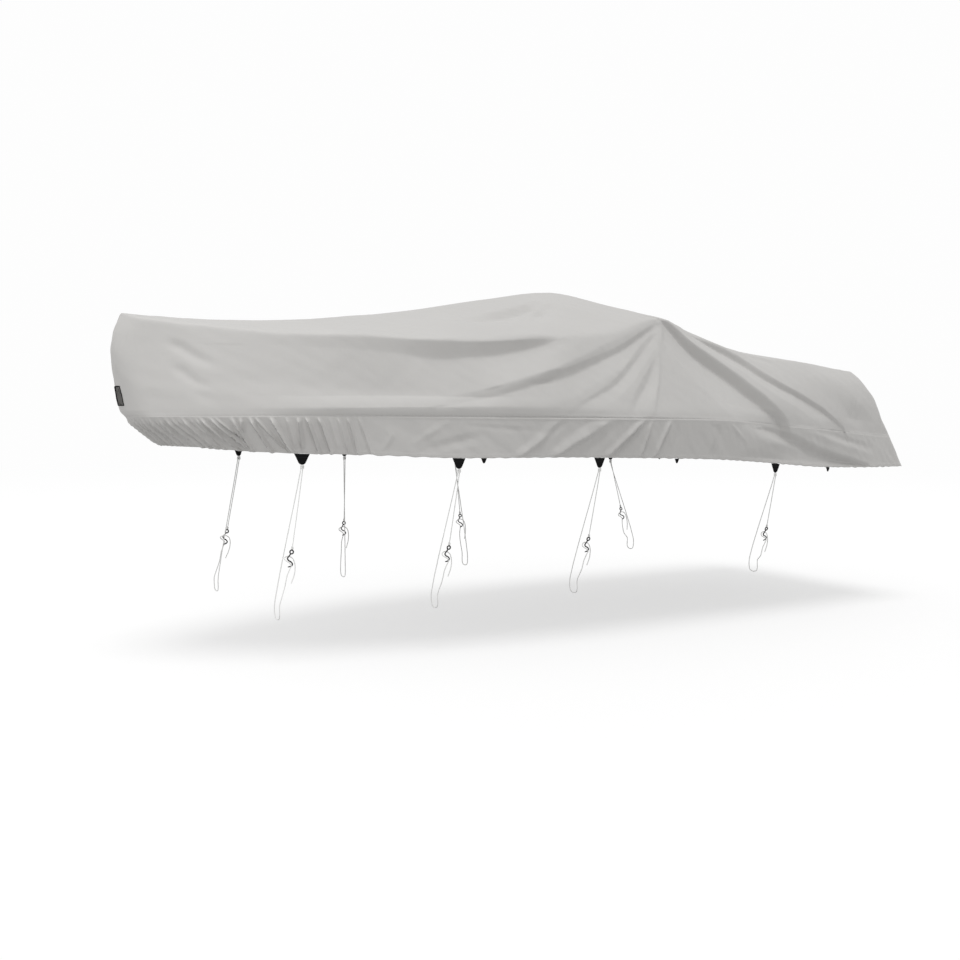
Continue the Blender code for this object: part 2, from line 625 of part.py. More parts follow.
def main():
    for item in list(bpy.data.objects):
        bpy.data.objects.remove(item, do_unlink=True)
    cloth = plain_material("cover_cloth", (0.56, 0.55, 0.53), 0.75)
    webbing = plain_material("black_webbing", (0.012, 0.012, 0.012), 0.8)
    cord = plain_material("white_cord", (0.80, 0.80, 0.78), 0.7)
    plastic = plain_material("black_plastic", (0.015, 0.015, 0.015), 0.4)
    build_shell(cloth)
    build_skirt(cloth)
    template = hook_mesh()
    for side_name, side in (("port", 1.0), ("starboard", -1.0)):
        for number, x in enumerate(SMALL_TABS, 1):
            build_tab(f"loop_tab_{side_name}_{number}", x, (LOOP_TOP, LOOP_FOOT),
                      LOOP_DROP, side, webbing)
        for number, tie in enumerate(map(Tie._make, TIES), 1):
            label = f"{side_name}_{number}"
            build_tab(f"tie_tab_{label}", tie.tab_x, (TAB_TOP, TAB_FOOT), TAB_DROP, side, webbing)
            mirror = np.array([1.0, side, 1.0])
            leg = smooth_route([point * mirror for point in leg_route(tie)])
            build_tube(f"tie_leg_{label}", leg, CORD / 2, cord)
            line = smooth_route([point * mirror for point in line_route(tie)])
            build_tube(f"tie_line_{label}", line, CORD / 2, cord)
            build_hook(f"tie_hook_{label}", template, tie, side, plastic)
    bpy.data.meshes.remove(template)


main()
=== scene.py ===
"""Looks of the fitted boat cover: creased cloth, seams, webbing tabs and tie lines.

Frame: metres, +Z up, +X towards the stern, -Y the port side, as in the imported
model. The origin is the point under the roof's top where the cover is held up.

The cloth is laid on a finer grid than the solids, from tables of the same kind. It
stays within 0.1 m of them and adds the creases, gathers and ripples.
"""

import math
from collections import namedtuple
from itertools import product

import bmesh
import bpy
import numpy as np
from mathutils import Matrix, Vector


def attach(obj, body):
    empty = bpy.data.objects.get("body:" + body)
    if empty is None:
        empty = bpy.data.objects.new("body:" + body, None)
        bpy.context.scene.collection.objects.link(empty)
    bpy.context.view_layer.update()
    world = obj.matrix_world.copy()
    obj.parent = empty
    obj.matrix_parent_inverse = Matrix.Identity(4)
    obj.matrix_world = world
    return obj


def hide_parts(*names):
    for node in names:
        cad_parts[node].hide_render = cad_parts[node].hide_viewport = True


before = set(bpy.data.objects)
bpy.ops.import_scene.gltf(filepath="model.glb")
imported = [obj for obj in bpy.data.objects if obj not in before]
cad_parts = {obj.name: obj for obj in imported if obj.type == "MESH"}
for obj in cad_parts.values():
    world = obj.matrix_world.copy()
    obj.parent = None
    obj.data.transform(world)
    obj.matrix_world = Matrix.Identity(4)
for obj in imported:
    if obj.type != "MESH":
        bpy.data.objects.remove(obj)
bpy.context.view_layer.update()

# ---- camera, stage
CAMERA_PLACE = (-5.43, -8.35, -0.887)
CAMERA_AIM = (0.5045, 0.8634)  # level direction of view
CAMERA_DIP = math.radians(4.13)  # the camera looks down this much
LENS, SENSOR = 43.125, 36.0  # in millimetres
FLOOR_Z = -2.777
FLOOR_RADIUS, FLOOR_SIDES, FLOOR_ROUGH = 60.0, 96, 0.9
FLOOR_FADE = (7.0, 24.0)  # the floor turns into the backdrop's white here
BACKDROP = 0.985
WORLD_LIGHT = 0.675
KEY_LIGHT, KEY_ANGLE = 1.40, math.radians(30)
KEY_FROM = (-0.14, -0.18, 0.93)  # towards the key light
FILL_PLACE, FILL_AIM = (-6.0, -4.6, 1.5), (-3.3, -0.3, -1.2)  # soft lamp off the bow
FILL_SIZE, FILL_POWER, FILL_SPREAD = 2.0, 6.6, math.radians(60)
FLOOR_GLOW = 0.55  # share of the floor's white that no shadow takes
FLOOR_BOUNCE = 0.17  # light that the floor sends up to the cloth
FLOOR_GREY, WHITE = (0.42, 0.42, 0.42, 1.0), (1.0, 1.0, 1.0, 1.0)

# ---- driving sizes
MM = 1000.0  # millimetres in a metre
SEAM_INSET = 0.036
BOW_CAP, NOSE_LEAST = 0.13, 0.3  # length of the rounded bow, least share of its breadth
FLARE_STEP = 0.01
STERN_RADIUS = 0.06
TOP_CAMBER = 1.5
RIDGE_INSET = 0.10
RIM_GAP, GAP = 0.0006, 0.0003
WEBBING = 0.003
LARGE_TAB = (0.100, 0.034, 0.078)  # width at the top, width at the foot, drop
SMALL_TAB = (0.046, 0.014, 0.038)
CORD = 0.007
CORD_PITCH, CORD_LEAD = 0.0125, 0.012
LOOP_WIDTH, LOOP_RADIUS = 0.10, 0.035
AFT, INBOARD, UP = np.eye(3)
LEVEL = AFT + INBOARD
EYE_SHARE, EYE_OFFSET = 0.56, 0.015
HOOK_ROD, HOOK_EYE = 0.005, 0.013

# One row for each section across the cover, from bow to stern: station, half
# breadths at the rub line, the hem and the shoulder, how full the side stays on
# its way up (1 is straight), then heights of the hem, the seam, the rub line
# above the seam, the shoulder and the ridge.
SECTION_COLUMNS = ("x", "rub_half", "hem_half", "shoulder_half", "fullness",
                   "hem_z", "seam_z", "rub_rise", "shoulder_z", "ridge_z")
SECTIONS = (
    (-3.60, 0.120, 0.020, 0.100, 1.4, -1.235, -1.027, 0.025, -0.310, -0.288),
    (-3.20, 0.380, 0.100, 0.300, 1.4, -1.238, -1.025, 0.035, -0.360, -0.312),
    (-2.90, 0.560, 0.380, 0.450, 1.4, -1.256, -1.024, 0.042, -0.390, -0.323),
    (-2.60, 0.720, 0.600, 0.600, 1.4, -1.280, -1.022, 0.045, -0.420, -0.317),
    (-2.00, 0.920, 0.860, 0.800, 1.4, -1.300, -1.023, 0.058, -0.440, -0.284),
    (-1.30, 1.080, 1.045, 0.930, 1.5, -1.333, -1.033, 0.066, -0.460, -0.204),
    (-0.50, 1.170, 1.140, 0.980, 1.15, -1.345, -1.046, 0.055, -0.420, -0.073),
    (0.12, 1.200, 1.165, 0.930, 1.08, -1.364, -1.056, 0.035, -0.370, 0.0073),
    (0.65, 1.200, 1.170, 0.850, 1.02, -1.383, -1.066, 0.028, -0.240, -0.100),
    (1.10, 1.200, 1.170, 0.850, 1.12, -1.405, -1.080, 0.025, -0.378, -0.214),
    (1.45, 1.195, 1.170, 0.860, 1.4, -1.432, -1.105, 0.025, -0.484, -0.340),
    (1.80, 1.185, 1.168, 0.885, 1.8, -1.463, -1.137, 0.025, -0.537, -0.440),
    (2.30, 1.165, 1.163, 0.935, 2.1, -1.503, -1.178, 0.025, -0.594, -0.520),
    (3.00, 1.120, 1.150, 0.955, 2.4, -1.523, -1.240, 0.025, -0.672, -0.618),
    (3.40, 1.110, 1.145, 0.945, 2.5, -1.526, -1.267, 0.025, -0.670, -0.630),
)

# By rise up the side, 0 at the rub line and 1 at the shoulder: where the outline
# starts at the bow and ends at the stern.
SIDE_ENDS = (
    (0.00, -3.494, 3.180),
    (0.25, -3.531, 3.095),
    (0.60, -3.558, 3.018),
    (0.80, -3.540, 2.925),
    (1.00, -3.489, 2.845),
)
SEAM_ENDS = (-3.464, 3.198)
HEM_ENDS = (-3.226, 3.335)
FAN_ENDS = (-3.0, 2.0)

# ---- folds, creases
# In millimetres: a groove runs along points of the port side, station and height by
# turns. It reaches so far to its lower and to its upper side and is so deep, each
# given evenly spaced along it or once for all, and its bottom is rounded. A negative
# depth makes it a ridge. The upper side of a groove is the slope that faces down.
SHELL_GROOVES = (
    # the cloth falls in under the shoulder, from the bow's side to the roof
    ((-2750, -520, -2300, -530, -1950, -550, -1660, -570, -1440, -590, -1150, -565, -960, -550,
     -770, -520, -560, -485, -440, -450), (340, 300, 160), (90, 120, 120, 100, 30),
     (3, 14, 52, 74, 66, 4), 12),
    ((-600, -470, -440, -430, -240, -360), 100, (50, 70), (2, 14, 2), 15),
    # the side hangs a little hollow between the shoulder and the rub line
    ((-2950, -740, -2300, -800, -1700, -850, -1200, -870, -900, -880), 160, 360,
     (0, 36, 46, 34, 0), 50),
    # long fold from the roof's corner down towards the bow, with a ridge above it
    ((620, -300, 510, -360, 220, -500, -50, -600, -240, -665, -420, -730, -570, -760, -730, -800,
     -930, -850, -1220, -910, -1410, -940), (60, 160, 200), (24, 38, 44, 66, 70, 60),
     (8, 25, 28, 28, 24, 12), 4),
    ((540, -285, 230, -400, -20, -485, -210, -560, -390, -625, -570, -685, -740, -735, -970, -795),
     46, (120, 150), (-4, -15, -16, -8), 10),
    ((-480, -735, -600, -765, -740, -780), (30, 25), (22, 14), (2, 11, 2), 4),
    # steeper folds from the same corner
    ((570, -390, 520, -430, 330, -580, 150, -720, -20, -820, -150, -870, -300, -935, -470, -1030),
     (50, 100), (22, 44, 44, 20, 12), (5, 19, 19, 10, 5), 4),
    ((510, -580, 370, -770, 240, -890, 150, -1010), (60, 120), (10, 56, 50, 50), (3, 20, 18, 13),
     4),
    ((575, -470, 560, -530, 490, -720, 420, -860, 340, -1020), (12, 16), (40, 70),
     (-1, -7, -11, -9), 3),
    ((660, -460, 665, -700, 660, -900), (50, 70), (50, 70), (2, 5, 2), 12),
    # the deep fold aft, which runs on over the seam, and the ones above it
    ((680, -250, 740, -280, 840, -365, 960, -475, 1120, -580, 1300, -715, 1450, -845, 1610, -990,
     1750, -1130), (150, 300, 400), (14, 34, 48, 60, 74), (12, 62, 88, 90, 64), 2),
    ((1540, -930, 1640, -990, 1790, -1085), 16, (30, 15), (-2, -7, -2), 4),
    ((800, -265, 1020, -355, 1260, -462, 1480, -575, 1630, -685, 1790, -780, 2020, -885,
     2230, -990, 2400, -1100, 2530, -1190), (80, 140), (10, 28, 34, 22, 18), (8, 42, 44, 28, 16),
     2),
    ((1600, -530, 1740, -555, 1880, -600), (30, 40), 20, (2, 8, 2), 6),
    # the cloth stands out square over the stern's shoulder
    ((1850, -640, 2300, -720, 2660, -760, 2980, -780), 280, 120, (0, -14, -18, -14), 40),
    ((2200, -780, 2450, -930, 2660, -1060, 2840, -1160), (180, 140), (140, 120), (4, 20, 26, 8),
     30),
    # folds on the roof's side and at the bow
    ((-200, -120, -310, -150, -610, -220, -800, -255, -1050, -310), 50, (12, 16), (6, 50, 44, 8),
     3),
    ((-80, -130, -300, -190, -480, -270), 50, 16, (3, 46, 3), 3),
    ((-3240, -500, -3180, -535, -3070, -615, -2970, -675), (40, 50), 45, (3, 16, 12, 2), 6),
    ((-3220, -670, -3170, -710, -3090, -780, -2990, -830), (30, 50), 45, (3, 16, 12, 2), 6),
    ((-3160, -800, -3050, -880, -2950, -940), (40, 50), 35, (1, 8, 1), 10),
)
SKIRT_GROOVES = (
    ((-1860, -1120, -1830, -1180, -1870, -1250), 15, 30, (-2, -10, -4), 4),
    ((-1420, -1070, -1550, -1150, -1660, -1220), (25, 18), (40, 30), (-3, -10, -3), 5),
    ((-1150, -1170, -1320, -1200, -1580, -1260), (60, 50), 30, (2, 16, 4), 5),
    ((-620, -1145, -950, -1120, -1280, -1090), 30, 12, (1, 7, 1), 4),
    ((-550, -1080, -680, -1210, -850, -1325), (28, 20), (60, 50), (-6, -24, -18), 3),
    ((-480, -1070, -560, -1130, -660, -1180), 30, 30, (4, 14, 2), 6),
    ((-80, -1060, -250, -1165, -400, -1240, -540, -1325), (30, 22), (100, 60), (-12, -36, -22), 3),
    ((0, -1100, -140, -1200, -280, -1310), (50, 40), (40, 30), (4, 14, 6), 8),
    ((250, -1060, 100, -1190, -80, -1340), (20, 16), (45, 40), (-16, -32, -18), 2),
    ((290, -1070, 140, -1200, -30, -1340), (40, 30), (16, 14), (4, 16, 10), 2),
    ((320, -1080, 270, -1250, 230, -1350), 14, 26, (-10, -24, -14), 2),
    ((520, -1060, 450, -1200, 380, -1350), (16, 14), (36, 30), (-12, -26, -16), 2),
    ((600, -1070, 580, -1200, 560, -1300), 30, 30, (2, 8, 2), 10),
    ((985, -1230, 987, -1320, 990, -1420), (12, 50, 80), (12, 50, 80), (2, 16, 16), 3),
    ((920, -1120, 1000, -1130, 1090, -1125), 10, 10, (1, 6, 1), 3),
    ((930, -1146, 1020, -1152, 1130, -1160), 10, 10, (1, 7, 1), 3),
    ((950, -1172, 1030, -1182, 1110, -1184), 12, 12, (1, 6, 1), 3),
    ((1140, -1090, 1220, -1170, 1320, -1250), 20, 20, (-3, -12, -3), 3),
    ((1340, -1150, 1790, -1300, 2160, -1400), 60, 50, (-4, -12, -3), 6),
    ((1550, -1165, 1700, -1195, 1900, -1265, 2100, -1345, 2300, -1405, 2500, -1452, 2680, -1485,
     2840, -1515), (200, 60), (30, 50, 45, 24), (10, 44, 54, 48, 26), 2),
    ((1300, -1390, 1700, -1420, 2100, -1455), 50, (50, 130, 100), (3, 24, 4), 6),
    ((2000, -1160, 2300, -1250, 2620, -1330, 2880, -1400), 40, 30, (-3, -10, -3), 5),
    ((2300, -1190, 2600, -1280, 2950, -1360), 60, 30, (2, 10, 4), 6),
)
# The same on the transom, along distance to starboard and height by turns.
TRANSOM_GROOVES = (
    ((-800, -740, -600, -900, -340, -1060, -100, -1160), (100, 160), (50, 80), (3, 20, 16, 3), 12),
    ((820, -750, 680, -930, 520, -1120), (80, 140), (50, 70), (3, 18, 6), 12),
    ((700, -740, 420, -820, 100, -860), (70, 100), 50, (2, 10, 2), 12),
    ((-160, -780, -100, -940, 20, -1120), (60, 100), (60, 100), (2, 7, 3), 20),
    ((-920, -1120, -400, -1190, 250, -1200, 800, -1160), 50, 80, (2, 10, 10, 2), 15),
    ((-620, -1270, -660, -1400, -630, -1520), 50, 40, (-3, -10, -12), 8),
    ((-180, -1270, -140, -1400, -200, -1520), 50, 50, (-2, -9, -12), 8),
    ((360, -1270, 410, -1400, 380, -1520), 40, 50, (-3, -11, -13), 8),
    ((840, -1270, 800, -1400, 830, -1520), 40, 40, (-2, -8, -10), 8),
)
TRANSOM_FADE = (2.92, 2.97)
STARBOARD_SHIFT, STARBOARD_SHARE = 0.08, 0.8
GROOVES_STOP, GROOVES_FADE = 2.98, 0.12
LIP = 0.05  # how soft a groove's two outer edges are
LINE_STEPS = 8  # points for each stretch of a groove's line

# The skirt is gathered at the bow. Each pleat leaves the seam at one station, which
# runs on round the nose, and meets the hem at another, stands so high (these three in
# millimetres), and ends at that share of the way down.
PLEATS = (
    (-3620, -3585, 14, 1.3), (-3580, -3520, 18, 1.3), (-3525, -3475, 14, 1.3),
    (-3465, -3430, 20, 1.3), (-3430, -3385, 12, 1.3), (-3400, -3350, 20, 1.3),
    (-3360, -3325, 10, 0.8), (-3326, -3307, 18, 1.3), (-3284, -3226, 24, 1.3),
    (-3250, -3189, 18, 1.3), (-3218, -3165, 10, 0.9), (-3185, -3148, 24, 1.3),
    (-3140, -3120, 10, 0.7), (-3103, -3104, 17, 1.3), (-3077, -3015, 27, 1.3),
    (-3017, -2945, 26, 1.3), (-2984, -2896, 18, 0.75), (-2883, -2942, 24, 1.2),
    (-2828, -2976, 18, 0.55), (-2776, -2827, 28, 1.3), (-2744, -2726, 18, 1.1),
    (-2649, -2702, 32, 1.3), (-2547, -2674, 12, 0.9), (-2471, -2643, 22, 1.0),
    (-2418, -2534, 27, 1.3), (-2337, -2452, 26, 1.3), (-2260, -2400, 8, 0.9),
    (-2204, -2336, 14, 1.1), (-2138, -2276, 20, 1.3), (-2060, -2179, 11, 1.2),
)
# How far a pleat reaches ahead and behind, by station.
PLEAT_FRONT = ((-2.90, -2.55), (0.032, 0.014))
PLEAT_BACK = ((-2.90, -2.55), (0.013, 0.030))
PLEAT_STANDS, PLEAT_PEAK, PLEAT_RUNOUT = 1.45, 1.3, 0.25

# ---- fine mesh
SHELL_BOW_STEPS, SKIRT_BOW_STEPS = 10, 56
SHELL_SIDE = (-3.34, (0.0, 130), (2.96, 226))
SKIRT_SIDE = (-3.30, (-2.0, 320), (1.0, 270), (3.1, 170))
CORNER_STEPS, TRANSOM_STEPS = 6, 30
SIDE_ROWS, TOP_ROWS, SKIRT_ROWS = 80, 30, 27
SKIRT_CROWD = 0.08  # the skirt's rows crowd towards its edges
SKIRT_CLOTH = 0.0016
HEM_BAND, HEM_PROUD = 0.025, 0.0009
HEM_THICKENS = 0.008
HEM_CALM, HEM_CALM_DEPTH = (0.75, 1.0), (0.85, 1.0)  # shares of the way down to the hem
HEM_HOLDS = 0.45  # share of a fold that the hem takes away
SEAM_HOLDS, PLEAT_STARTS, DIP_ENDS = 0.05, 0.04, 0.16  # metres below the seam
SEAM_ROLL = 0.0035  # the skirt's folded top edge stands this proud
ROLL_DROP, ROLL_REACH, ROLL_LEAST = 0.009, 0.007, 0.15
SEAM_ROLL_SPAN = ((-2.1, -1.6, 0.1, 0.7), (0.0, 1.0, 1.0, 0.0))
SEAM_STEP = (0.004, 0.010, 0.005)  # the shell's edge: heights of its two lines, depth behind
SEAM_STEP_SPAN = ((-2.6, -2.0, 0.3, 0.8), (0.2, 1.0, 1.0, 0.12))
SEAM_DIP_SPAN = (1.00, 1.35, 2.45, 2.70)  # here the deep fold draws the seam in with it
# By station: how far the shell turns under at the seam, how round its lower side is,
# and how round its shoulder is.
SEAM_FOLD = ((-2.75, -2.15, -1.20, -0.50, 0.0), (0.05, 1.0, 0.9, 0.2, 0.0))
SEAM_SOFT = ((-2.75, -2.15, -1.50, -0.30, 0.40), (0.15, 0.0, 0.0, 0.7, 1.0))
SHOULDER_SOFT = (
    (-3.55, -3.40, -3.20, -2.60, -2.00, -0.70, -0.25, 0.30, 0.60, 0.90, 2.50, 2.85),
    (0.30, 0.80, 1.00, 1.00, 0.45, 0.35, 1.00, 0.80, 0.10, 0.35, 0.18, 0.05))
SEAM_ROUND, SHOULDER_ROUND = (2, 1, 6, 16), (80, 14, 9, 26)  # row, rows each way, passes
EDGE_FREE = (0.0, 0.0, 0.1, *np.linspace(0.4, 1.0, 15))  # share of the folds, row by row
TOP_CROWD = 1.5  # the top's rows crowd towards the shoulder
SEAM_ROWS, SLOT_RISES = 3, (0.08, 0.26)  # the shell's rows below its side, the bow's slot


def smoothstep(edge_low, edge_high, value):
    share = np.clip((value - edge_low) / (edge_high - edge_low), 0.0, 1.0)
    return share * share * (3.0 - 2.0 * share)


def pchip(knots, values, at):
    """Monotone cubic through the knots, so that no table row overshoots."""
    knots, values = np.asarray(knots, float), np.asarray(values, float)
    steps = np.diff(knots)
    slopes = np.diff(values) / steps
    tangents = np.zeros_like(values)
    tangents[0], tangents[-1] = slopes[0], slopes[-1]
    for i in range(1, len(knots) - 1):
        if slopes[i - 1] * slopes[i] > 0.0:
            near = 2.0 * steps[i] + steps[i - 1]
            far = steps[i] + 2.0 * steps[i - 1]
            tangents[i] = (near + far) / (near / slopes[i - 1] + far / slopes[i])
    at = np.clip(np.asarray(at, float), knots[0], knots[-1])
    i = np.clip(np.searchsorted(knots, at) - 1, 0, len(steps) - 1)
    t = (at - knots[i]) / steps[i]
    return (values[i] * (1 + 2 * t) * (1 - t) ** 2
            + tangents[i] * steps[i] * t * (1 - t) ** 2
            + values[i + 1] * t * t * (3 - 2 * t)
            + tangents[i + 1] * steps[i] * t * t * (t - 1))


def section(column, x):
    """A column of the section table at any station."""
    rows = np.array(SECTIONS)
    return pchip(rows[:, 0], rows[:, SECTION_COLUMNS.index(column)], x)


def side_ends(rise):
    """Bow and stern end of the outline at a rise up the side."""
    rises, *ends = np.array(SIDE_ENDS).T
    return [float(pchip(rises, end, rise)) for end in ends]


def top_z(x, y):
    """Height of the top at a point in plan, cambered from ridge to shoulder."""
    ridge, shoulder = section("ridge_z", x), section("shoulder_z", x)
    share = np.minimum(np.abs(y) / section("shoulder_half", x), 1.0)
    return ridge - (ridge - shoulder) * share ** TOP_CAMBER


# A half ring runs from the middle of the bow down one side to the middle of the
# stern. A place on it is (zone, share): rounded bow, side, aft corner, transom.
BOW, SIDE, CORNER, TRANSOM = range(4)


def half_ring(bow_steps, side_runs):
    """Places along a half ring; side_runs gives (end station, steps) in turn."""
    places = [(BOW, k / bow_steps) for k in range(bow_steps)]
    first, start = side_runs[0], side_runs[0]
    reach = side_runs[-1][0] - first
    for end, steps in side_runs[1:]:
        stations = [start + (end - start) * k / steps for k in range(steps)]
        places += [(SIDE, (station - first) / reach) for station in stations]
        start = end
    places += [(CORNER, k / CORNER_STEPS) for k in range(CORNER_STEPS)]
    places += [(TRANSOM, k / TRANSOM_STEPS) for k in range(TRANSOM_STEPS + 1)]
    return places


def outline(places, bow_x, stern_x, half_at):
    """Plan points (x, y >= 0) of one outline of the cover."""
    side_start, side_stop = bow_x + BOW_CAP, stern_x - STERN_RADIUS
    bow_half, stern_half = float(half_at(side_start)), float(half_at(side_stop))
    flare = (float(half_at(side_start + FLARE_STEP)) - bow_half) / FLARE_STEP
    nose = max(bow_half - flare * BOW_CAP, NOSE_LEAST * bow_half)
    zones, shares = np.array(places).T
    angles = shares * math.pi / 2
    side_x = side_start + (side_stop - side_start) * shares
    by_zone = (
        (bow_x + BOW_CAP * shares ** 2, 2 * shares * (1 - shares) * nose + shares ** 2 * bow_half),
        (side_x, half_at(side_x)),
        (side_stop + STERN_RADIUS * np.sin(angles),
         stern_half - STERN_RADIUS * (1 - np.cos(angles))),
        (np.full_like(shares, stern_x), (stern_half - STERN_RADIUS) * (1 - shares)),
    )
    return [np.choose(zones.astype(int), axis) for axis in zip(*by_zone)]


def side_row(places, rise):
    """One row of the shell's side, 0 at the rub line and 1 at the shoulder."""
    def half_at(x):
        lean = rise ** section("fullness", x)
        return section("rub_half", x) * (1 - lean) + section("shoulder_half", x) * lean

    x, y = outline(places, *side_ends(rise), half_at)
    edge = outline(places, *side_ends(1.0), lambda at: section("shoulder_half", at))
    rub_z = section("seam_z", x) + section("rub_rise", x)
    return np.stack([x, y, rub_z * (1 - rise) + top_z(*edge) * rise], -1)


def top_row(places, share):
    """One row of the top, 0 at the shoulder and 1 on the ridge."""
    edge = side_row(places, 1.0)
    ridge_x = edge[:, 0].copy()
    fore, aft = (int(np.argmax(edge[:, 0] > station)) for station in FAN_ENDS)
    ridge_x[:fore + 1] = np.linspace(edge[0, 0] + RIDGE_INSET, edge[fore, 0], fore + 1)
    ridge_x[aft:] = np.linspace(edge[aft, 0], edge[-1, 0] - RIDGE_INSET, len(places) - aft)
    x = edge[:, 0] * (1 - share) + ridge_x * share
    y = edge[:, 1] * (1 - share)
    return np.stack([x, y, top_z(x, y)], -1)


def seam_row(places):
    """The waist seam, where the shell turns under and the skirt begins."""
    def half_at(x):
        return section("rub_half", x) - SEAM_INSET * np.interp(x, *SEAM_FOLD)

    x, y = outline(places, *SEAM_ENDS, half_at)
    return np.stack([x, y, section("seam_z", x)], -1)


def hem_row(places):
    """The lower edge of the skirt."""
    x, y = outline(places, *HEM_ENDS, lambda at: section("hem_half", at))
    return np.stack([x, y, section("hem_z", x)], -1)


def nearest(line, x, z):
    """Distance from points to a line of points, its side, and the share along it."""
    best = np.full(x.shape, 1e9)
    side, along = np.zeros_like(best), np.zeros_like(best)
    runs = len(line) - 1
    for k, (start, end) in enumerate(zip(line[:-1], line[1:])):
        step = end - start
        dx, dz = x - start[0], z - start[1]
        t = np.clip((dx * step[0] + dz * step[1]) / step.dot(step), 0.0, 1.0)
        away = np.hypot(dx - t * step[0], dz - t * step[1])
        closer = away < best
        best = np.where(closer, away, best)
        side = np.where(closer, np.sign(step[0]) * (step[0] * dz - step[1] * dx), side)
        along = np.where(closer, (k + t) / runs, along)
    return best, side, along


def smooth_line(points):
    """A groove's line in metres, made smooth."""
    points = np.reshape(points, (-1, 2)) / MM
    ends = np.vstack([2 * points[0] - points[1], points, 2 * points[-1] - points[-2]])
    fine = []
    for a, b, c, d in zip(ends[:-3], ends[1:-2], ends[2:-1], ends[3:]):
        for t in np.arange(LINE_STEPS) / LINE_STEPS:
            fine.append(0.5 * (2 * b + (c - a) * t + (2 * a - 5 * b + 4 * c - d) * t ** 2
                               + (3 * b - a - 3 * c + d) * t ** 3))
    fine.append(points[-1])
    return np.array(fine)


def along_line(values, share):
    """Metres at a share of the way along, from one value or evenly spaced ones."""
    values = np.atleast_1d(values) / MM
    return np.interp(share, np.linspace(0.0, 1.0, len(values)), values)


def groove_depth(grooves, x, z):
    """Depth of the grooves at stations and heights: two slopes each, soft at the edges."""
    depth = np.zeros_like(x)
    for line, below, above, deep, bottom in grooves:
        away, side, t = nearest(smooth_line(line), x, z)
        reach = np.where(side > 0.0, along_line(above, t), along_line(below, t))
        bottom = bottom / MM
        slope = 1.0 - (np.sqrt(away ** 2 + bottom ** 2) - bottom) / reach
        depth += along_line(deep, t) * (slope + np.sqrt(slope ** 2 + LIP ** 2)) / 2
    return depth


def ripples(waves, u, v):
    """Smooth uneven noise, the same each run."""
    chance = np.random.default_rng(waves.seed)
    total = np.zeros_like(u)
    for _ in range(waves.count):
        turn_u = 2 * math.pi / waves.length_u * chance.uniform(*WAVES_VARY_U)
        turn_v = 2 * math.pi / waves.length_v * chance.uniform(*WAVES_VARY_V)
        total += np.sin(turn_u * u + turn_v * v + chance.uniform(0.0, 2 * math.pi))
    return waves.height * (total / math.sqrt(waves.count))


def unit(vectors):
    lengths = np.linalg.norm(vectors, axis=-1, keepdims=True)
    return vectors / np.maximum(lengths, 1e-9)


def outward(rings):
    """Outward normals of a grid of closed rings, stacked from low to high."""
    around = np.roll(rings, -1, axis=1) - np.roll(rings, 1, axis=1)
    return unit(np.cross(around, np.gradient(rings, axis=0)))


def level(normals):
    """Normals turned level, for a rim that meets its neighbour flat."""
    return unit(normals * LEVEL)


def full_rings(rows):
    """Half rings, bow to stern, mirrored into closed rings, port side first."""
    return np.concatenate([rows * (1.0, -1.0, 1.0), rows[:, -2:0:-1, :]], axis=1)


def fold_depth(grooves, rings):
    """Depth of the grooves on both sides, shallower to starboard, and on the transom."""
    x, y, z = np.moveaxis(rings, -1, 0)
    turn = x.shape[1] // 2 + 1
    port = groove_depth(grooves, x[:, :turn], z[:, :turn])
    starboard = groove_depth(grooves, x[:, turn:] - STARBOARD_SHIFT, z[:, turn:])
    depth = np.hstack([port, STARBOARD_SHARE * starboard])
    depth = depth * np.clip((GROOVES_STOP - x) / GROOVES_FADE, 0.0, 1.0)
    return depth + groove_depth(TRANSOM_GROOVES, y, z) * smoothstep(*TRANSOM_FADE, x)


# ---- cloth surfaces
# Small waves: height, lengths both ways in metres, how many are mixed, and the seed.
Waves = namedtuple("Waves", "height length_u length_v count seed")
BILLOWS = Waves(0.0050, 0.75, 0.55, 9, 11)
CRUMPLES = Waves(0.0009, 0.16, 0.13, 12, 12)
SKIRT_BILLOWS = Waves(0.0030, 0.30, 0.45, 8, 21)
SKIRT_CRUMPLES = Waves(0.0010, 0.10, 0.14, 10, 22)
RUFFLES = Waves(0.0022, 0.09, 1.0, 8, 23)
WAVES_VARY_U, WAVES_VARY_V = (0.6, 1.5), (-1.3, 1.3)
ROUND_TURN = 1.2  # the small waves run on round the corners at this rate


def seam_dip(rings):
    """How far the folds that run on over the seam draw it in, for each column."""
    x = rings[:1, :, 0]
    seam = np.stack([x, 0 * x, section("seam_z", x)], -1)
    window = smoothstep(*SEAM_DIP_SPAN[:2], x) * (1 - smoothstep(*SEAM_DIP_SPAN[2:], x))
    return (window * fold_depth(SHELL_GROOVES, seam))[0]


def soften_edge(rings, amount, row, rows_below, rows_above, passes):
    """Round an edge that runs along one row, by an amount for each column."""
    low, high = row - rows_below, row + rows_above
    amount = 0.5 * amount[None, :, None]
    for _ in range(passes):
        middle = (rings[low - 1:high - 1] + rings[low + 1:high + 1]) / 2
        rings[low:high] += amount * (middle - rings[low:high])


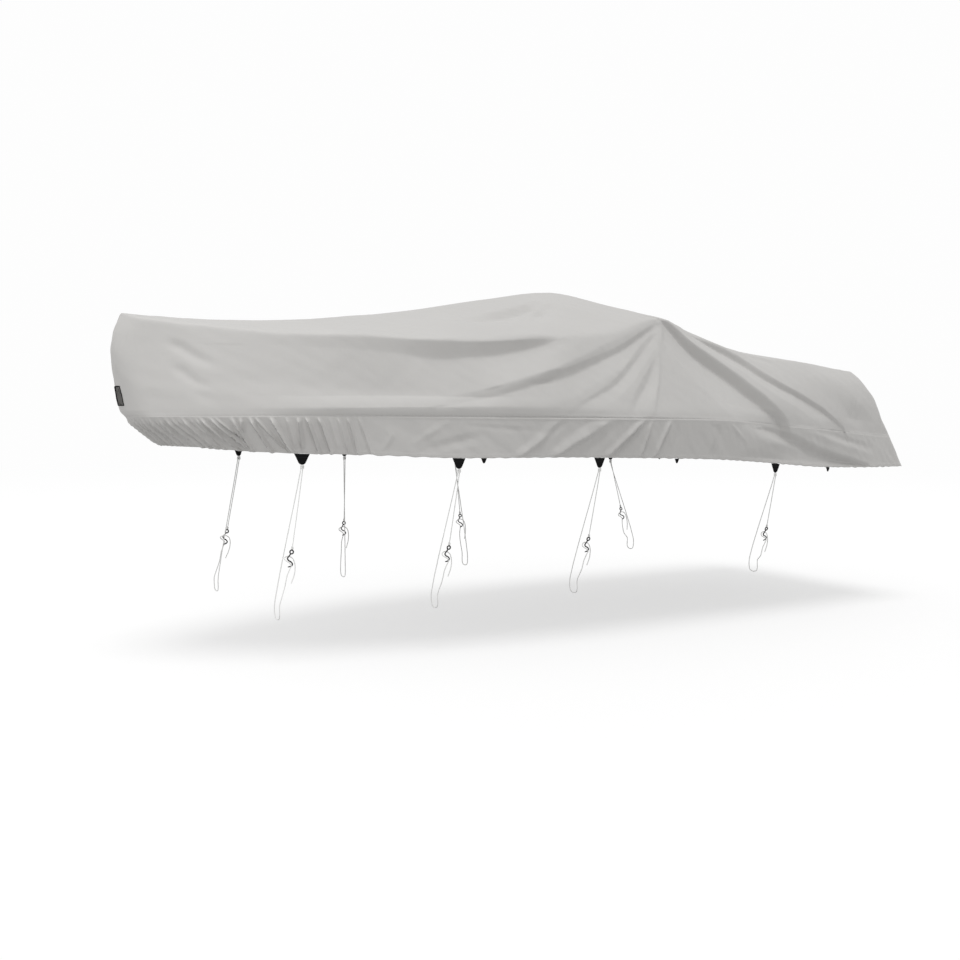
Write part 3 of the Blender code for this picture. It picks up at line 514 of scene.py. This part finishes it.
def shell_rings():
    """The shell's fine surface: closed rings from the seam up to the ridge."""
    places = half_ring(SHELL_BOW_STEPS, SHELL_SIDE)
    tops = np.linspace(0.0, 1.0, TOP_ROWS + 1)[1:] ** TOP_CROWD
    rows = [seam_row(places)]
    rows += [side_row(places, rise) for rise in np.linspace(0.0, 1.0, SIDE_ROWS)]
    rows += [top_row(places, share) for share in tops]
    rings = full_rings(np.array(rows))
    stations = rings[SIDE_ROWS, :, 0]
    soften_edge(rings, np.interp(stations, *SHOULDER_SOFT), *SHOULDER_ROUND)
    soften_edge(rings, np.interp(stations, *SEAM_SOFT), *SEAM_ROUND)
    shares = (np.array(SEAM_STEP[:2])[:, None] / (rings[1, :, 2] - rings[0, :, 2]))[..., None]
    edge = rings[0] * (1 - shares) + rings[1] * shares
    step = SEAM_STEP[2] * np.interp(stations, *SEAM_STEP_SPAN)
    edge[0] -= step[:, None] * level(outward(edge))[0]
    rings = np.concatenate([rings[:1], edge, rings[1:]])
    normals = outward(rings)

    free = np.ones(len(rings))
    free[:len(EDGE_FREE)] = EDGE_FREE
    held = 1.0 - free[:, None]
    depth = fold_depth(SHELL_GROOVES, rings)
    x, y, z = np.moveaxis(rings, -1, 0)
    around = x + ROUND_TURN * y
    depth += ripples(BILLOWS, around, z + np.abs(y))
    depth += ripples(CRUMPLES, around, z + 0.5 * np.abs(y))
    depth = depth * (1.0 - held) + seam_dip(rings) * held
    depth[-1] = 0.0
    normals = level(normals[:1]) * held[..., None] + normals * (1.0 - held)[..., None]
    return rings - depth[..., None] * normals


def pleat_height(rings, drops):
    """How far the slanting gathers at the bow stand out: soft in front, steep behind."""
    seam = rings[-1]
    steps = np.linalg.norm(np.diff(seam, axis=0, prepend=seam[:1]), axis=1)
    half = len(seam) // 2
    start = int(np.argmax(seam[:half, 0] > SEAM_ENDS[0] + BOW_CAP))
    run = np.cumsum(steps)[start] - np.cumsum(steps)[:start]
    station = seam[:, 0].copy()
    station[:start] = station[start] - run
    station[half + 1:] = station[half - 1:0:-1]
    down = drops[:, None]
    height = np.zeros(rings.shape[:2])
    for *sizes, reach in PLEATS:
        top, foot, stands = (size / MM for size in sizes)
        behind = station - (top + (foot - top) * down)
        ahead_reach, behind_reach = np.interp(top, *PLEAT_FRONT), np.interp(top, *PLEAT_BACK)
        share = 1.0 - np.abs(behind) / np.where(behind > 0.0, behind_reach, ahead_reach)
        stands = PLEAT_STANDS * stands * (1.0 - smoothstep(reach - PLEAT_RUNOUT, reach, down))
        height = np.maximum(height, stands * np.maximum(share, 0.0) ** PLEAT_PEAK)
    return height


def skirt_rings():
    """The skirt's fine surface: closed rings from the hem up to the seam."""
    places = half_ring(SKIRT_BOW_STEPS, SKIRT_SIDE)
    seam, hem = seam_row(places), hem_row(places)
    steps = np.linspace(1.0, 0.0, SKIRT_ROWS)
    drops = steps - SKIRT_CROWD * np.sin(2 * math.pi * steps)
    rings = full_rings(np.array([seam * (1 - drop) + hem * drop for drop in drops]))
    loose = np.sin(math.pi * drops)[:, None]
    near_hem = smoothstep(*HEM_CALM, drops)[:, None]
    x = rings[..., 0]
    below = section("seam_z", x) - rings[..., 2]
    normals = outward(rings)
    normals = normals * (1 - near_hem[..., None]) + level(normals) * near_hem[..., None]
    stands = pleat_height(rings, drops) * smoothstep(0.0, PLEAT_STARTS, below)
    rings = rings + stands[..., None] * normals
    normals = outward(rings)
    depth = fold_depth(SKIRT_GROOVES, rings)
    held = HEM_HOLDS * smoothstep(*HEM_CALM_DEPTH, drops[:, None])
    depth *= smoothstep(0.0, SEAM_HOLDS, below) * (1.0 - held)
    around = x + ROUND_TURN * rings[..., 1] - 0.5 * below
    depth += ripples(SKIRT_BILLOWS, around, below) * loose
    depth += ripples(SKIRT_CRUMPLES, around, below) * np.minimum(1, 2 * loose)
    roll = ROLL_LEAST + (1.0 - ROLL_LEAST) * np.interp(x, *SEAM_ROLL_SPAN)
    depth -= SEAM_ROLL * np.exp(-((below - ROLL_DROP) / ROLL_REACH) ** 2) * roll
    depth += seam_dip(rings[::-1]) * (1.0 - smoothstep(0.0, DIP_ENDS, below))
    normals[-1] = level(normals[-1])
    rings = rings - depth[..., None] * normals
    rings[..., 2] += ripples(RUFFLES, around, 0 * x) * near_hem
    return rings


def measured_uv(rings):
    """Lengths in metres along the ring and up from its lowest row."""
    along = np.linalg.norm(np.diff(rings, axis=1, append=rings[:, :1]), axis=2)
    u = np.concatenate([[0.0], np.cumsum(along[len(rings) // 3])])
    up = np.linalg.norm(np.diff(rings, axis=0, prepend=rings[:1]), axis=2)
    return u, np.cumsum(up, axis=0)


def add_face(bm, corners, places):
    """Smooth face with a place on the cloth, in metres, for each corner."""
    face = bm.faces.new(corners)
    face.smooth = True
    for loop, place in zip(face.loops, places):
        loop[bm.loops.layers.uv[0]].uv = place


def finished(bm):
    mesh = bpy.data.meshes.new("cloth")
    bm.to_mesh(mesh)
    bm.free()
    return mesh


def grid_mesh(layers, uv, spine=False, holes=()):
    """Mesh of one or two layers of closed rings, joined at their rims.

    With a spine, both halves of the last ring share their vertices. Holes are
    (row, column) cells that stay open.
    """
    bm = bmesh.new()
    bm.loops.layers.uv.new("cloth")
    u, v = uv
    rows, count = v.shape
    grids = []
    for points in layers:
        grid = [[bm.verts.new(point) for point in ring] for ring in points[:rows - spine]]
        if spine:
            middle = [bm.verts.new((x, 0.0, z)) for x, _, z in points[-1][:count // 2 + 1]]
            grid.append(middle + middle[-2:0:-1])
        grids.append(grid)
    for inside, grid in enumerate(grids):
        for row, k in product(range(rows - 1), range(count)):
            if (row, k) in holes:
                continue
            cell = [(row, k), (row, k + 1), (row + 1, k + 1), (row + 1, k)]
            corners = {}
            for r, q in cell[::-1] if inside else cell:
                corners.setdefault(grid[r][q % count], (u[q], v[r, q % count]))
            add_face(bm, list(corners), corners.values())
    if len(grids) == 2:
        outer, inner = grids
        for row, k in product((0, rows - 1), range(count)):
            after = (k + 1) % count
            corners = [outer[row][k], outer[row][after], inner[row][after], inner[row][k]]
            add_face(bm, corners if row else corners[::-1], [(u[k], v[row, k])] * 4)
    return finished(bm)


def put(name, data):
    """New object in the scene."""
    made = bpy.data.objects.new(name, data)
    bpy.context.scene.collection.objects.link(made)
    return made


def add_piece(name, data, material, replaced=None):
    """Object that rides on the cover's one body, in a solid's place if one is named."""
    data.name = name
    data.materials.append(material)
    piece = put(name, data)
    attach(piece, "root")
    if replaced:
        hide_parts(replaced)
    return piece


def make_shell(materials):
    rings = shell_rings()
    low, high = (SEAM_ROWS + int(round(rise * (SIDE_ROWS - 1))) for rise in SLOT_RISES)
    count = rings.shape[1]
    holes = set(product(range(low, high), (0, 1, count - 2, count - 1)))
    mesh = grid_mesh([rings], measured_uv(rings), spine=True, holes=holes)
    piece = add_piece("shell_cloth", mesh, materials["shell"], "shell")
    rim = [(low, k) for k in (-2, -1, 0, 1)] + [(row, 2) for row in range(low, high)]
    rim += [(high, k) for k in (2, 1, 0, -1)] + [(row, -2) for row in range(high, low, -1)]
    binding = tube_curve([rings[place] for place in rim], BINDING)
    binding.splines[0].use_cyclic_u = True
    add_piece("slot_binding", binding, materials["webbing"])
    return piece


def make_skirt(material):
    rings = skirt_rings()
    normals = outward(rings)
    normals[0], normals[-1] = level(normals[0]), level(normals[-1])
    u, v = measured_uv(rings)
    band = (1.0 - smoothstep(HEM_BAND, HEM_BAND + HEM_THICKENS, v))[..., None]
    outer = rings + HEM_PROUD * band * normals
    inner = rings - (SKIRT_CLOTH + HEM_PROUD * band) * normals
    piece = add_piece("skirt_cloth", grid_mesh([outer, inner], (u, v)), material, "skirt")
    return piece


# ---- materials
class Nodes:
    """Short calls for building the nodes of one material, or of the world."""

    def __init__(self, owner, shader, inputs):
        owner.use_nodes = True
        self.owner, self.tree = owner, owner.node_tree
        self.shader = self.tree.nodes[shader]
        self.feed(self.shader, inputs)

    def feed(self, node, inputs):
        """Set a node's inputs, or link them where a socket is given."""
        for key, value in inputs.items():
            if isinstance(value, bpy.types.NodeSocket):
                self.tree.links.new(value, node.inputs[key])
            else:
                node.inputs[key].default_value = value

    def node(self, kind, inputs, output=0, **settings):
        """First output of a new node, or the one named."""
        made = self.tree.nodes.new("ShaderNode" + kind)
        for key, value in settings.items():
            setattr(made, key, value)
        self.feed(made, inputs)
        return made.outputs[output]

    def math(self, operation, *values):
        return self.node("Math", dict(enumerate(values)), operation=operation)

    def noise(self, scale, detail, place):
        return self.node("TexNoise", {"Scale": scale, "Detail": detail, "Vector": place}, "Fac")

    def split(self, vector):
        return self.node("SeparateXYZ", {0: vector}).node.outputs

    def uv(self):
        """The two lengths that the mesh carries as its UV map, in metres."""
        return self.split(self.node("UVMap", {}, uv_map="cloth"))[:2]

    def place(self):
        return self.node("TexCoord", {}, "Object")

    def wave(self, length, pitch):
        """Sine that comes round once each pitch."""
        return self.math("SINE", self.math("MULTIPLY", length, 2 * math.pi / pitch))

    def weave(self, u, v, pitch):
        """Plain weave, up and down by turns in both directions."""
        return self.math("MULTIPLY", self.wave(u, pitch), self.wave(v, pitch))

    def stitches(self, u, v, rows):
        """1 on the stitches of rows at these lengths up the cloth, 0 elsewhere."""
        dash = self.math("GREATER_THAN", self.wave(u, STITCH), STITCH_DASH)
        return self.total([self.math("MULTIPLY", dash, self.math("COMPARE", v, row, STITCH_HALF))
                           for row in rows])

    def total(self, values):
        whole = values[0]
        for value in values[1:]:
            whole = self.math("ADD", whole, value)
        return whole

    def colour(self, share, first, second):
        """Colour between two, by a share."""
        ends = [(*end, 1.0) if isinstance(end, tuple) else end for end in (first, second)]
        return self.node("Mix", {0: share, 6: ends[0], 7: ends[1]}, 2, data_type="RGBA")

    def finish(self, colour, *heights):
        """Colour of the surface, and its relief from (pattern, height in metres) pairs."""
        height = self.total([self.math("MULTIPLY", *pair) for pair in heights])
        relief = self.node("Bump", {"Strength": 1.0, "Distance": 1.0, "Height": height})
        self.feed(self.shader, {"Base Color": colour, "Normal": relief})
        return self.owner


def new_material(name, **inputs):
    """Nodes of a new material; an input's name has _ for each space."""
    inputs = {key.replace("_", " "): value for key, value in inputs.items()}
    return Nodes(bpy.data.materials.new(name), "Principled BSDF", inputs)


THREAD = 0.0012  # spacing of the weave's threads
CLOTH_LIGHT, CLOTH_DARK = (0.550, 0.541, 0.527), (0.512, 0.503, 0.490)
CLOTH_ROUGH, CLOTH_GLOSS, CLOTH_SHEEN, SHEEN_ROUGH = 0.62, 0.28, 0.12, 0.45
TONE_NOISE, DENT_NOISE, PUCKER_NOISE = (1.6, 4.0), (7.0, 3.0), (1.0, 2.0)  # scale, detail
STITCH, STITCH_HALF = 0.0042, 0.0008
STITCH_DASH = -0.3  # the thread shows where the sine is above this
CLOTH_STITCH = (0.40, 0.39, 0.38)
SHELL_STITCH, SKIRT_STITCHES = (0.013,), (0.006, 0.021)
PUCKER_REACH, PUCKER_SCALES = 0.040, (55.0, 12.0)
THREAD_HIGH, PUCKER_HIGH, DENT_HIGH, STITCH_DEEP = 0.00004, 0.0035, 0.0035, -0.0004
WEBBING_RIB, WEBBING_STITCHES = 0.0018, (0.005, 0.026)
WEBBING_BLACK, WEBBING_THREAD = (0.007, 0.007, 0.0075), (0.035, 0.035, 0.036)
WEBBING_HIGH, WEBBING_ROUGH, WEBBING_GLOSS = 0.00012, 0.9, 0.12
BRAID, BRAID_HIGH = 0.0042, 0.0003
# The cord's darker colour is painted shade for the grooves between its strands.
CORD_GROOVE_SHADE, CORD_LIGHT, CORD_ROUGH, CORD_SHEEN = (0.74, 0.74, 0.72), (0.88, 0.88, 0.87), 0.7, 0.2
PLASTIC_DARK, PLASTIC_LIGHT, PLASTIC_ROUGH = (0.010, 0.010, 0.011), (0.018, 0.018, 0.019), 0.42
GRAIN_NOISE, GRAIN_HIGH = (900.0, 2.0), 0.0001


def cloth_material(name, stitch_rows):
    """Coated woven polyester: weave, faint uneven tone, stitching and its puckers."""
    cloth = new_material(name, Roughness=CLOTH_ROUGH, Sheen_Weight=CLOTH_SHEEN,
                         Sheen_Roughness=SHEEN_ROUGH, Specular_IOR_Level=CLOTH_GLOSS)
    u, v = cloth.uv()
    stitches = cloth.stitches(u, v, stitch_rows)
    tone = cloth.noise(*TONE_NOISE, cloth.place())
    plain = cloth.colour(tone, CLOTH_DARK, CLOTH_LIGHT)
    near = cloth.math("SUBTRACT", 1.0, cloth.math("DIVIDE", v, PUCKER_REACH))
    near = cloth.math("MAXIMUM", near, 0.0)
    pucker_place = cloth.node("CombineXYZ", {
        axis: cloth.math("MULTIPLY", length, scale)
        for axis, length, scale in zip((0, 1), (u, v), PUCKER_SCALES)})
    puckers = cloth.math("MULTIPLY", cloth.noise(*PUCKER_NOISE, pucker_place), near)
    return cloth.finish(cloth.colour(stitches, plain, CLOTH_STITCH),
                        (cloth.weave(u, v, THREAD), THREAD_HIGH), (puckers, PUCKER_HIGH),
                        (cloth.noise(*DENT_NOISE, cloth.place()), DENT_HIGH),
                        (stitches, STITCH_DEEP))


def webbing_material():
    """Black polypropylene webbing: ribs, two rows of stitching, no gloss."""
    webbing = new_material("black_webbing_fine", Roughness=WEBBING_ROUGH,
                           Specular_IOR_Level=WEBBING_GLOSS)
    u, v = webbing.uv()
    stitches = webbing.stitches(u, v, WEBBING_STITCHES)
    return webbing.finish(webbing.colour(stitches, WEBBING_BLACK, WEBBING_THREAD),
                          (webbing.weave(u, v, WEBBING_RIB), WEBBING_HIGH),
                          (stitches, STITCH_DEEP))


def cord_material():
    """White braided cord: two crossing diagonals of strands, with painted shade in the grooves
    between them.
    """
    cord = new_material("white_cord_fine", Roughness=CORD_ROUGH, Sheen_Weight=CORD_SHEEN)
    x, y, z = cord.split(cord.place())
    across = cord.math("ADD", x, y)
    braid = cord.math("MAXIMUM", *(cord.wave(cord.math(kind, z, across), BRAID)
                                   for kind in ("ADD", "SUBTRACT")))
    # painted shade: the cord turns darker where the braid's relief is low, in the grooves between
    # strands
    painted_groove_shade = cord.math("MULTIPLY_ADD", braid, 0.5, 0.5)
    return cord.finish(cord.colour(painted_groove_shade, CORD_GROOVE_SHADE, CORD_LIGHT), (braid, BRAID_HIGH))


def plastic_material():
    """Black moulded plastic, finely grained."""
    plastic = new_material("black_plastic_fine", Roughness=PLASTIC_ROUGH)
    grain = plastic.noise(*GRAIN_NOISE, plastic.place())
    return plastic.finish(plastic.colour(grain, PLASTIC_DARK, PLASTIC_LIGHT),
                          (grain, GRAIN_HIGH))


# ---- tabs and ties
Tie = namedtuple("Tie", "tab_x loop_x loop_half loop_z")
TIES = tuple(map(Tie._make, (
    (-2.416, -2.617, 0.750, -2.453),
    (-1.335, -1.440, 0.900, -2.451),
    (-0.156, -0.201, 0.930, -2.442),
    (1.685, 1.726, 0.930, -2.418),
)))
SMALL_TABS = (-1.142, 0.601, 2.320)
SIDES = (("port", 1.0), ("starboard", -1.0))
# Paths in millimetres from the hook's eye: aft, down the line and outward.
HOOK_PATH = ((-4, 11.5, 0), (-14, 30, 0), (-24, 48, 0), (-14, 62, 0), (8, 72, 0), (19, 86, 0),
             (9, 101, 0), (-12, 108, 0))
WRAP_PATH = ((-15, 250, 4), (-13, 170, 10), (0, 118, 15), (6, 98, 16), (-10, 79, 16),
             (-32, 68, 12), (-46, 56, 0), (-36, 41, -14), (-8, 34, -18), (22, 47, -16),
             (40, 80, -10), (46, 125, -4), (42, 170, 0), (29, 220, 2))
TIP_SHARES = (0.95, 0.85, 0.6)  # how the hook's rod thins out at its tip
RING_STEPS, WRAP_STEPS = 40, 24
WRAP_CORD, WRAP_PITCH = 0.0025, 1.04  # radius of the whipping's cord, turns in diameters
WRAP_TUCK = 0.25  # how much further in the whipping's two ends lie
KNOT_GAP, KNOT_TURNS, EYE_WRAP_TURNS = 0.004, 4.5, 3.5
ROUTE_STEP, CORD_TURN, HOOK_TURN = 0.003, math.radians(6), math.radians(5)
CORD_LONGEST, HOOK_LONGEST = 0.2, 0.01  # longest stretches of a smooth route
TAB_COLUMNS, TAB_ROWS = 18, 16
TAB_ROUND, TAB_DOUBLE, TAB_BOW = 0.0016, 0.0008, 0.0015
TAB_CORNER, TAB_TIP, TAB_SEWN = 0.45, 0.98, (0.40, 0.46)
BINDING = 0.0045  # radius of the bound edge of the bow's slot


def hem_frame(x):
    """Port hem point at a station and its level outward normal."""
    point, ahead = (np.array([at, -float(section("hem_half", at)), float(section("hem_z", at))])
                    for at in (x, x + FLARE_STEP))
    return point, np.cross(level(ahead - point), UP)


def tie_frame(tie):
    """Port tie: foot of the tab, middle of the eye, and the hook's directions."""
    point, out = hem_frame(tie.tab_x)
    foot = point - (RIM_GAP + LARGE_TAB[2] + GAP) * UP - 0.5 * WEBBING * out
    loop = np.array([tie.loop_x, -tie.loop_half, tie.loop_z])
    down = unit(loop - foot)
    aft = unit(AFT - down[0] * down)
    eye = foot + EYE_SHARE * (loop - foot) + EYE_OFFSET * aft
    return foot, loop, eye, (aft, down, np.cross(down, aft))


def spot(eye, axes, local):
    """A point given as (aft, down, outward) from the eye in millimetres, in the world."""
    return eye + sum(amount / MM * axis for amount, axis in zip(local, axes))


def leg_route(tie):
    """Short leg, from the tab to the top of the hook's eye."""
    foot, _, eye, (_, down, _) = tie_frame(tie)
    start = foot + CORD_PITCH / 2 * AFT
    end = eye - (HOOK_EYE + HOOK_ROD + GAP) * down
    return [start, start - CORD_LEAD * UP, end - 2 * CORD_LEAD * down, end]


def line_route(tie):
    """Long line: down the inboard leg, round the loop, up round the hook, tail."""
    foot, loop, eye, axes = tie_frame(tie)
    start = foot - CORD_PITCH / 2 * AFT
    corner, bevel = LOOP_RADIUS, LOOP_RADIUS * (1 - math.cos(math.pi / 4))
    back = loop + LOOP_WIDTH * INBOARD
    route = [start, start - CORD_LEAD * UP, back + 3 * corner * UP, back + corner * UP,
             back - bevel * INBOARD + bevel * UP, back - corner * INBOARD,
             loop + corner * INBOARD, loop + bevel * INBOARD + bevel * UP,
             loop + corner * UP, loop + 3 * corner * UP]
    return route + [spot(eye, axes, local) for local in WRAP_PATH]


def between(a, b, start, end, t):
    return a * ((end - t) / (end - start)) + b * ((t - start) / (end - start))


def smooth_route(points, turn, longest):
    """Points of a smooth curve through a route, closer where it bends."""
    points = [Vector(p) for p in points]
    ends = [points[0] * 2 - points[1]] + points + [points[-1] * 2 - points[-2]]
    fine, marks = [], []
    for a, b, c, d in zip(ends[:-3], ends[1:-2], ends[2:-1], ends[3:]):
        marks.append(len(fine))
        knots = [0.0]
        for one, two in ((a, b), (b, c), (c, d)):
            knots.append(knots[-1] + max((two - one).length, 1e-6) ** 0.5)
        t0, t1, t2, t3 = knots
        steps = max(2, int((c - b).length / ROUTE_STEP))
        for k in range(steps):
            t = t1 + (t2 - t1) * k / steps
            middle = between(b, c, t1, t2, t)
            left = between(between(a, b, t0, t1, t), middle, t0, t2, t)
            right = between(middle, between(c, d, t2, t3, t), t1, t3, t)
            fine.append(between(left, right, t1, t2, t))
    fine.append(points[-1])
    kept, turned, run = [fine[0]], 0.0, 0.0
    for k, (before, here, after) in enumerate(zip(fine[:-2], fine[1:-1], fine[2:]), 1):
        turned += (here - before).angle(after - here, 0.0)
        run += (here - before).length
        if turned > turn or run > longest or k in (marks[1], marks[-1]):
            kept.append(here)
            turned, run = 0.0, 0.0
    return kept + [fine[-1]]


def route_length(points):
    return sum((b - a).length for a, b in zip(points[:-1], points[1:]))


def tube_curve(points, radius, resolution=3):
    curve = bpy.data.curves.new("cord", "CURVE")
    curve.dimensions = "3D"
    curve.bevel_depth, curve.bevel_resolution = radius, resolution
    curve.use_fill_caps = True
    add_spline(curve, points)
    return curve


def add_spline(curve, points):
    spline = curve.splines.new("POLY")
    spline.points.add(len(points) - 1)
    for place, point in zip(spline.points, points):
        place.co = (*point, 1.0)
    return spline


def hook_curve(tie, mirror):
    """Hook of round rod: an S-shaped body and a ring for an eye."""
    _, _, eye, axes = tie_frame(tie)
    body = [spot(eye, axes, local) * mirror for local in HOOK_PATH]
    curve = tube_curve(smooth_route(body, HOOK_TURN, HOOK_LONGEST), HOOK_ROD, 5)
    for point, radius in zip(curve.splines[0].points[-3:], TIP_SHARES):
        point.radius = radius
    turns = [2 * math.pi * k / RING_STEPS for k in range(RING_STEPS)]
    ring = [(MM * HOOK_EYE * math.cos(turn), MM * HOOK_EYE * math.sin(turn)) for turn in turns]
    add_spline(curve, [spot(eye, axes, local) * mirror for local in ring]).use_cyclic_u = True
    return curve


def wrap_curve(top, axis, wide, deep, turns):
    """Whipping of thin cord round one or two cords, turn beside turn."""
    axis = unit(axis)
    across = unit(AFT - axis[0] * axis)
    third = np.cross(axis, across)
    points, last = [], int(turns * WRAP_STEPS)
    for k in range(last + 1):
        turn = 2 * math.pi * k / WRAP_STEPS
        along = 2.0 * WRAP_CORD * WRAP_PITCH * k / WRAP_STEPS
        tuck = 1.0 - WRAP_TUCK * (k in (0, last))
        points.append(top + along * axis + tuck * wide * math.cos(turn) * across
                      + tuck * deep * math.sin(turn) * third)
    return tube_curve(points, WRAP_CORD)


def tab_mesh(x, top_width, foot_width, drop, side):
    """Tapered webbing tab: rounded edges and foot, doubled where it is sewn on."""
    centre, out = hem_frame(x)
    spread = 0.5 * np.sin(np.linspace(-math.pi / 2, math.pi / 2, TAB_COLUMNS))
    falls = np.sin(np.linspace(0.0, math.pi / 2, TAB_ROWS))
    corner = TAB_CORNER * foot_width
    bm = bmesh.new()
    bm.loops.layers.uv.new("cloth")
    lengths, sheets = {}, []
    for face_side in (1.0, -1.0):
        sheets.append([])
        for fall in falls:
            rest = (1.0 - fall) * drop
            width = top_width + (foot_width - top_width) * fall
            if rest < corner:
                cut = corner - math.sqrt(max(corner ** 2 - (corner - rest) ** 2, 0.0))
                width -= 2 * cut * TAB_TIP
            row = []
            for share in spread:
                top, _ = hem_frame(x + share * top_width)
                border = min((0.5 - abs(share)) * width, rest)
                round_off = math.sqrt(1 - (1 - min(border / TAB_ROUND, 1.0)) ** 2)
                doubled = TAB_DOUBLE * (1 - smoothstep(*TAB_SEWN, fall)) * (face_side > 0)
                place = np.array([x + share * width,
                                  centre[1] + (top[1] - centre[1]) * width / top_width,
                                  top[2] + (centre[2] - top[2]) * fall - RIM_GAP - fall * drop])
                place += (face_side * (0.5 * WEBBING + doubled) * round_off - 0.5 * WEBBING
                          + TAB_BOW * math.sin(math.pi * fall)) * out
                row.append(bm.verts.new((place[0], side * place[1], place[2])))
                lengths[row[-1]] = (float(share * width), float(fall * drop))
            sheets[-1].append(row)
    front, back = sheets
    strips = [strip for sheet in sheets for strip in zip(sheet[:-1], sheet[1:])]
    for here, below in strips + [(front[0], back[0])]:
        for k in range(TAB_COLUMNS - 1):
            corners = (here[k], here[k + 1], below[k + 1], below[k])
            add_face(bm, corners, [lengths[vertex] for vertex in corners])
    bmesh.ops.remove_doubles(bm, verts=bm.verts, dist=1e-6)
    bmesh.ops.dissolve_degenerate(bm, edges=bm.edges, dist=1e-6)
    bmesh.ops.recalc_face_normals(bm, faces=bm.faces)
    return finished(bm)


def make_tabs(material):
    """Webbing tabs along the hem, on both sides."""
    kinds = (("small_tab", "loop_tab", SMALL_TABS, SMALL_TAB),
             ("large_tab", "tie_tab", [tie.tab_x for tie in TIES], LARGE_TAB))
    for (side_name, side), (name, node, stations, sizes) in product(SIDES, kinds):
        for number, x in enumerate(stations, 1):
            add_piece(f"{name}_{side_name}_{number}", tab_mesh(x, *sizes, side), material,
                      f"{node}_{side_name}_{number}")


def make_ties(materials):
    """Lines, legs and hooks on both sides."""
    white, thin = materials["cord"], CORD / 2 + WRAP_CORD
    for (side_name, side), (number, tie) in product(SIDES, enumerate(TIES, 1)):
        label, mirror = f"{side_name}_{number}", np.array([1.0, side, 1.0])
        leg, line = (smooth_route([p * mirror for p in route(tie)], CORD_TURN, CORD_LONGEST)
                     for route in (leg_route, line_route))
        leg_piece, line_piece, hook = (
            add_piece(f"{kind}_{label}", data, material, f"tie_{kind}_{label}")
            for kind, data, material in (("leg", tube_curve(leg, CORD / 2), white),
                                         ("line", tube_curve(line, CORD / 2), white),
                                         ("hook", hook_curve(tie, mirror), materials["plastic"])))
        foot = tie_frame(tie)[0] * mirror - KNOT_GAP * UP
        knot = add_piece(f"knot_{label}", wrap_curve(foot, -UP, CORD_PITCH / 2 + thin, thin,
                                                     KNOT_TURNS), white)
        end, before = np.array(leg[-1]), np.array(leg[-2])
        wrap = add_piece(f"wrap_{label}", wrap_curve(end, before - end, thin, thin,
                                                     EYE_WRAP_TURNS), white)
        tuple(leg[0])
        route_length(leg)
        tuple(line[0])
        route_length(line)


# ---- stage and main
def make_camera():
    camera = bpy.data.cameras.new("camera")
    camera.lens, camera.sensor_width = LENS, SENSOR
    holder = put("camera", camera)
    holder.location = CAMERA_PLACE
    holder.rotation_euler = (math.pi / 2 - CAMERA_DIP, 0.0, -math.atan2(*CAMERA_AIM))
    bpy.context.scene.camera = holder


def make_light():
    studio = Nodes(bpy.data.worlds.new("studio"), "Background", {"Color": WHITE})
    seen = studio.node("LightPath", {}, "Is Camera Ray")
    strength = studio.node("MapRange", {"Value": seen, "To Min": WORLD_LIGHT, "To Max": BACKDROP})
    studio.feed(studio.shader, {"Strength": strength})
    bpy.context.scene.world = studio.owner
    key, fill = bpy.data.lights.new("key", "SUN"), bpy.data.lights.new("bow_fill", "AREA")
    key.energy, key.angle, fill.energy = KEY_LIGHT, KEY_ANGLE, FILL_POWER
    fill.shape, fill.size, fill.spread = "DISK", FILL_SIZE, FILL_SPREAD
    for light, towards in ((key, Vector(KEY_FROM)), (fill, Vector(FILL_PLACE) - Vector(FILL_AIM))):
        holder = put(light.name, light)
        holder.rotation_euler = towards.to_track_quat("Z", "Y").to_euler()
    holder.location, holder.visible_camera = FILL_PLACE, False


def make_floor():
    """Pale floor that fades into the backdrop's white far from the cover."""
    floor = new_material("studio_floor", Roughness=FLOOR_ROUGH, Base_Color=FLOOR_GREY,
                         Specular_IOR_Level=0.0, Emission_Color=WHITE)
    seen = floor.node("LightPath", {}, "Is Camera Ray")
    glow = floor.math("MULTIPLY_ADD", seen, FLOOR_GLOW - FLOOR_BOUNCE, FLOOR_BOUNCE)
    floor.feed(floor.shader, {"Emission Strength": glow})
    distance = floor.node("VectorMath", {0: floor.place()}, "Value", operation="LENGTH")
    fade = floor.node("MapRange", {"Value": distance, "From Min": FLOOR_FADE[0],
                                   "From Max": FLOOR_FADE[1]}, interpolation_type="SMOOTHSTEP")
    backdrop = floor.node("Emission", {"Strength": BACKDROP})
    mix = floor.node("MixShader", {0: fade, 1: floor.shader.outputs[0], 2: backdrop})
    floor.feed(floor.tree.nodes["Material Output"], {"Surface": mix})
    bm = bmesh.new()
    bmesh.ops.create_circle(bm, cap_ends=True, segments=FLOOR_SIDES, radius=FLOOR_RADIUS)
    piece = put("floor", finished(bm))
    piece.data.materials.append(floor.owner)
    piece.location = (0.0, 0.0, FLOOR_Z)


def main():
    bpy.context.scene.view_settings.view_transform = "Standard"
    make_camera()
    make_light()
    make_floor()
    materials = {"shell": cloth_material("shell_cloth_fine", SHELL_STITCH),
                 "skirt": cloth_material("skirt_cloth_fine", SKIRT_STITCHES),
                 "webbing": webbing_material(), "cord": cord_material(),
                 "plastic": plastic_material()}
    make_ties(materials)
    make_tabs(materials["webbing"])
    shell = make_shell(materials)
    skirt = make_skirt(materials["skirt"])


main()
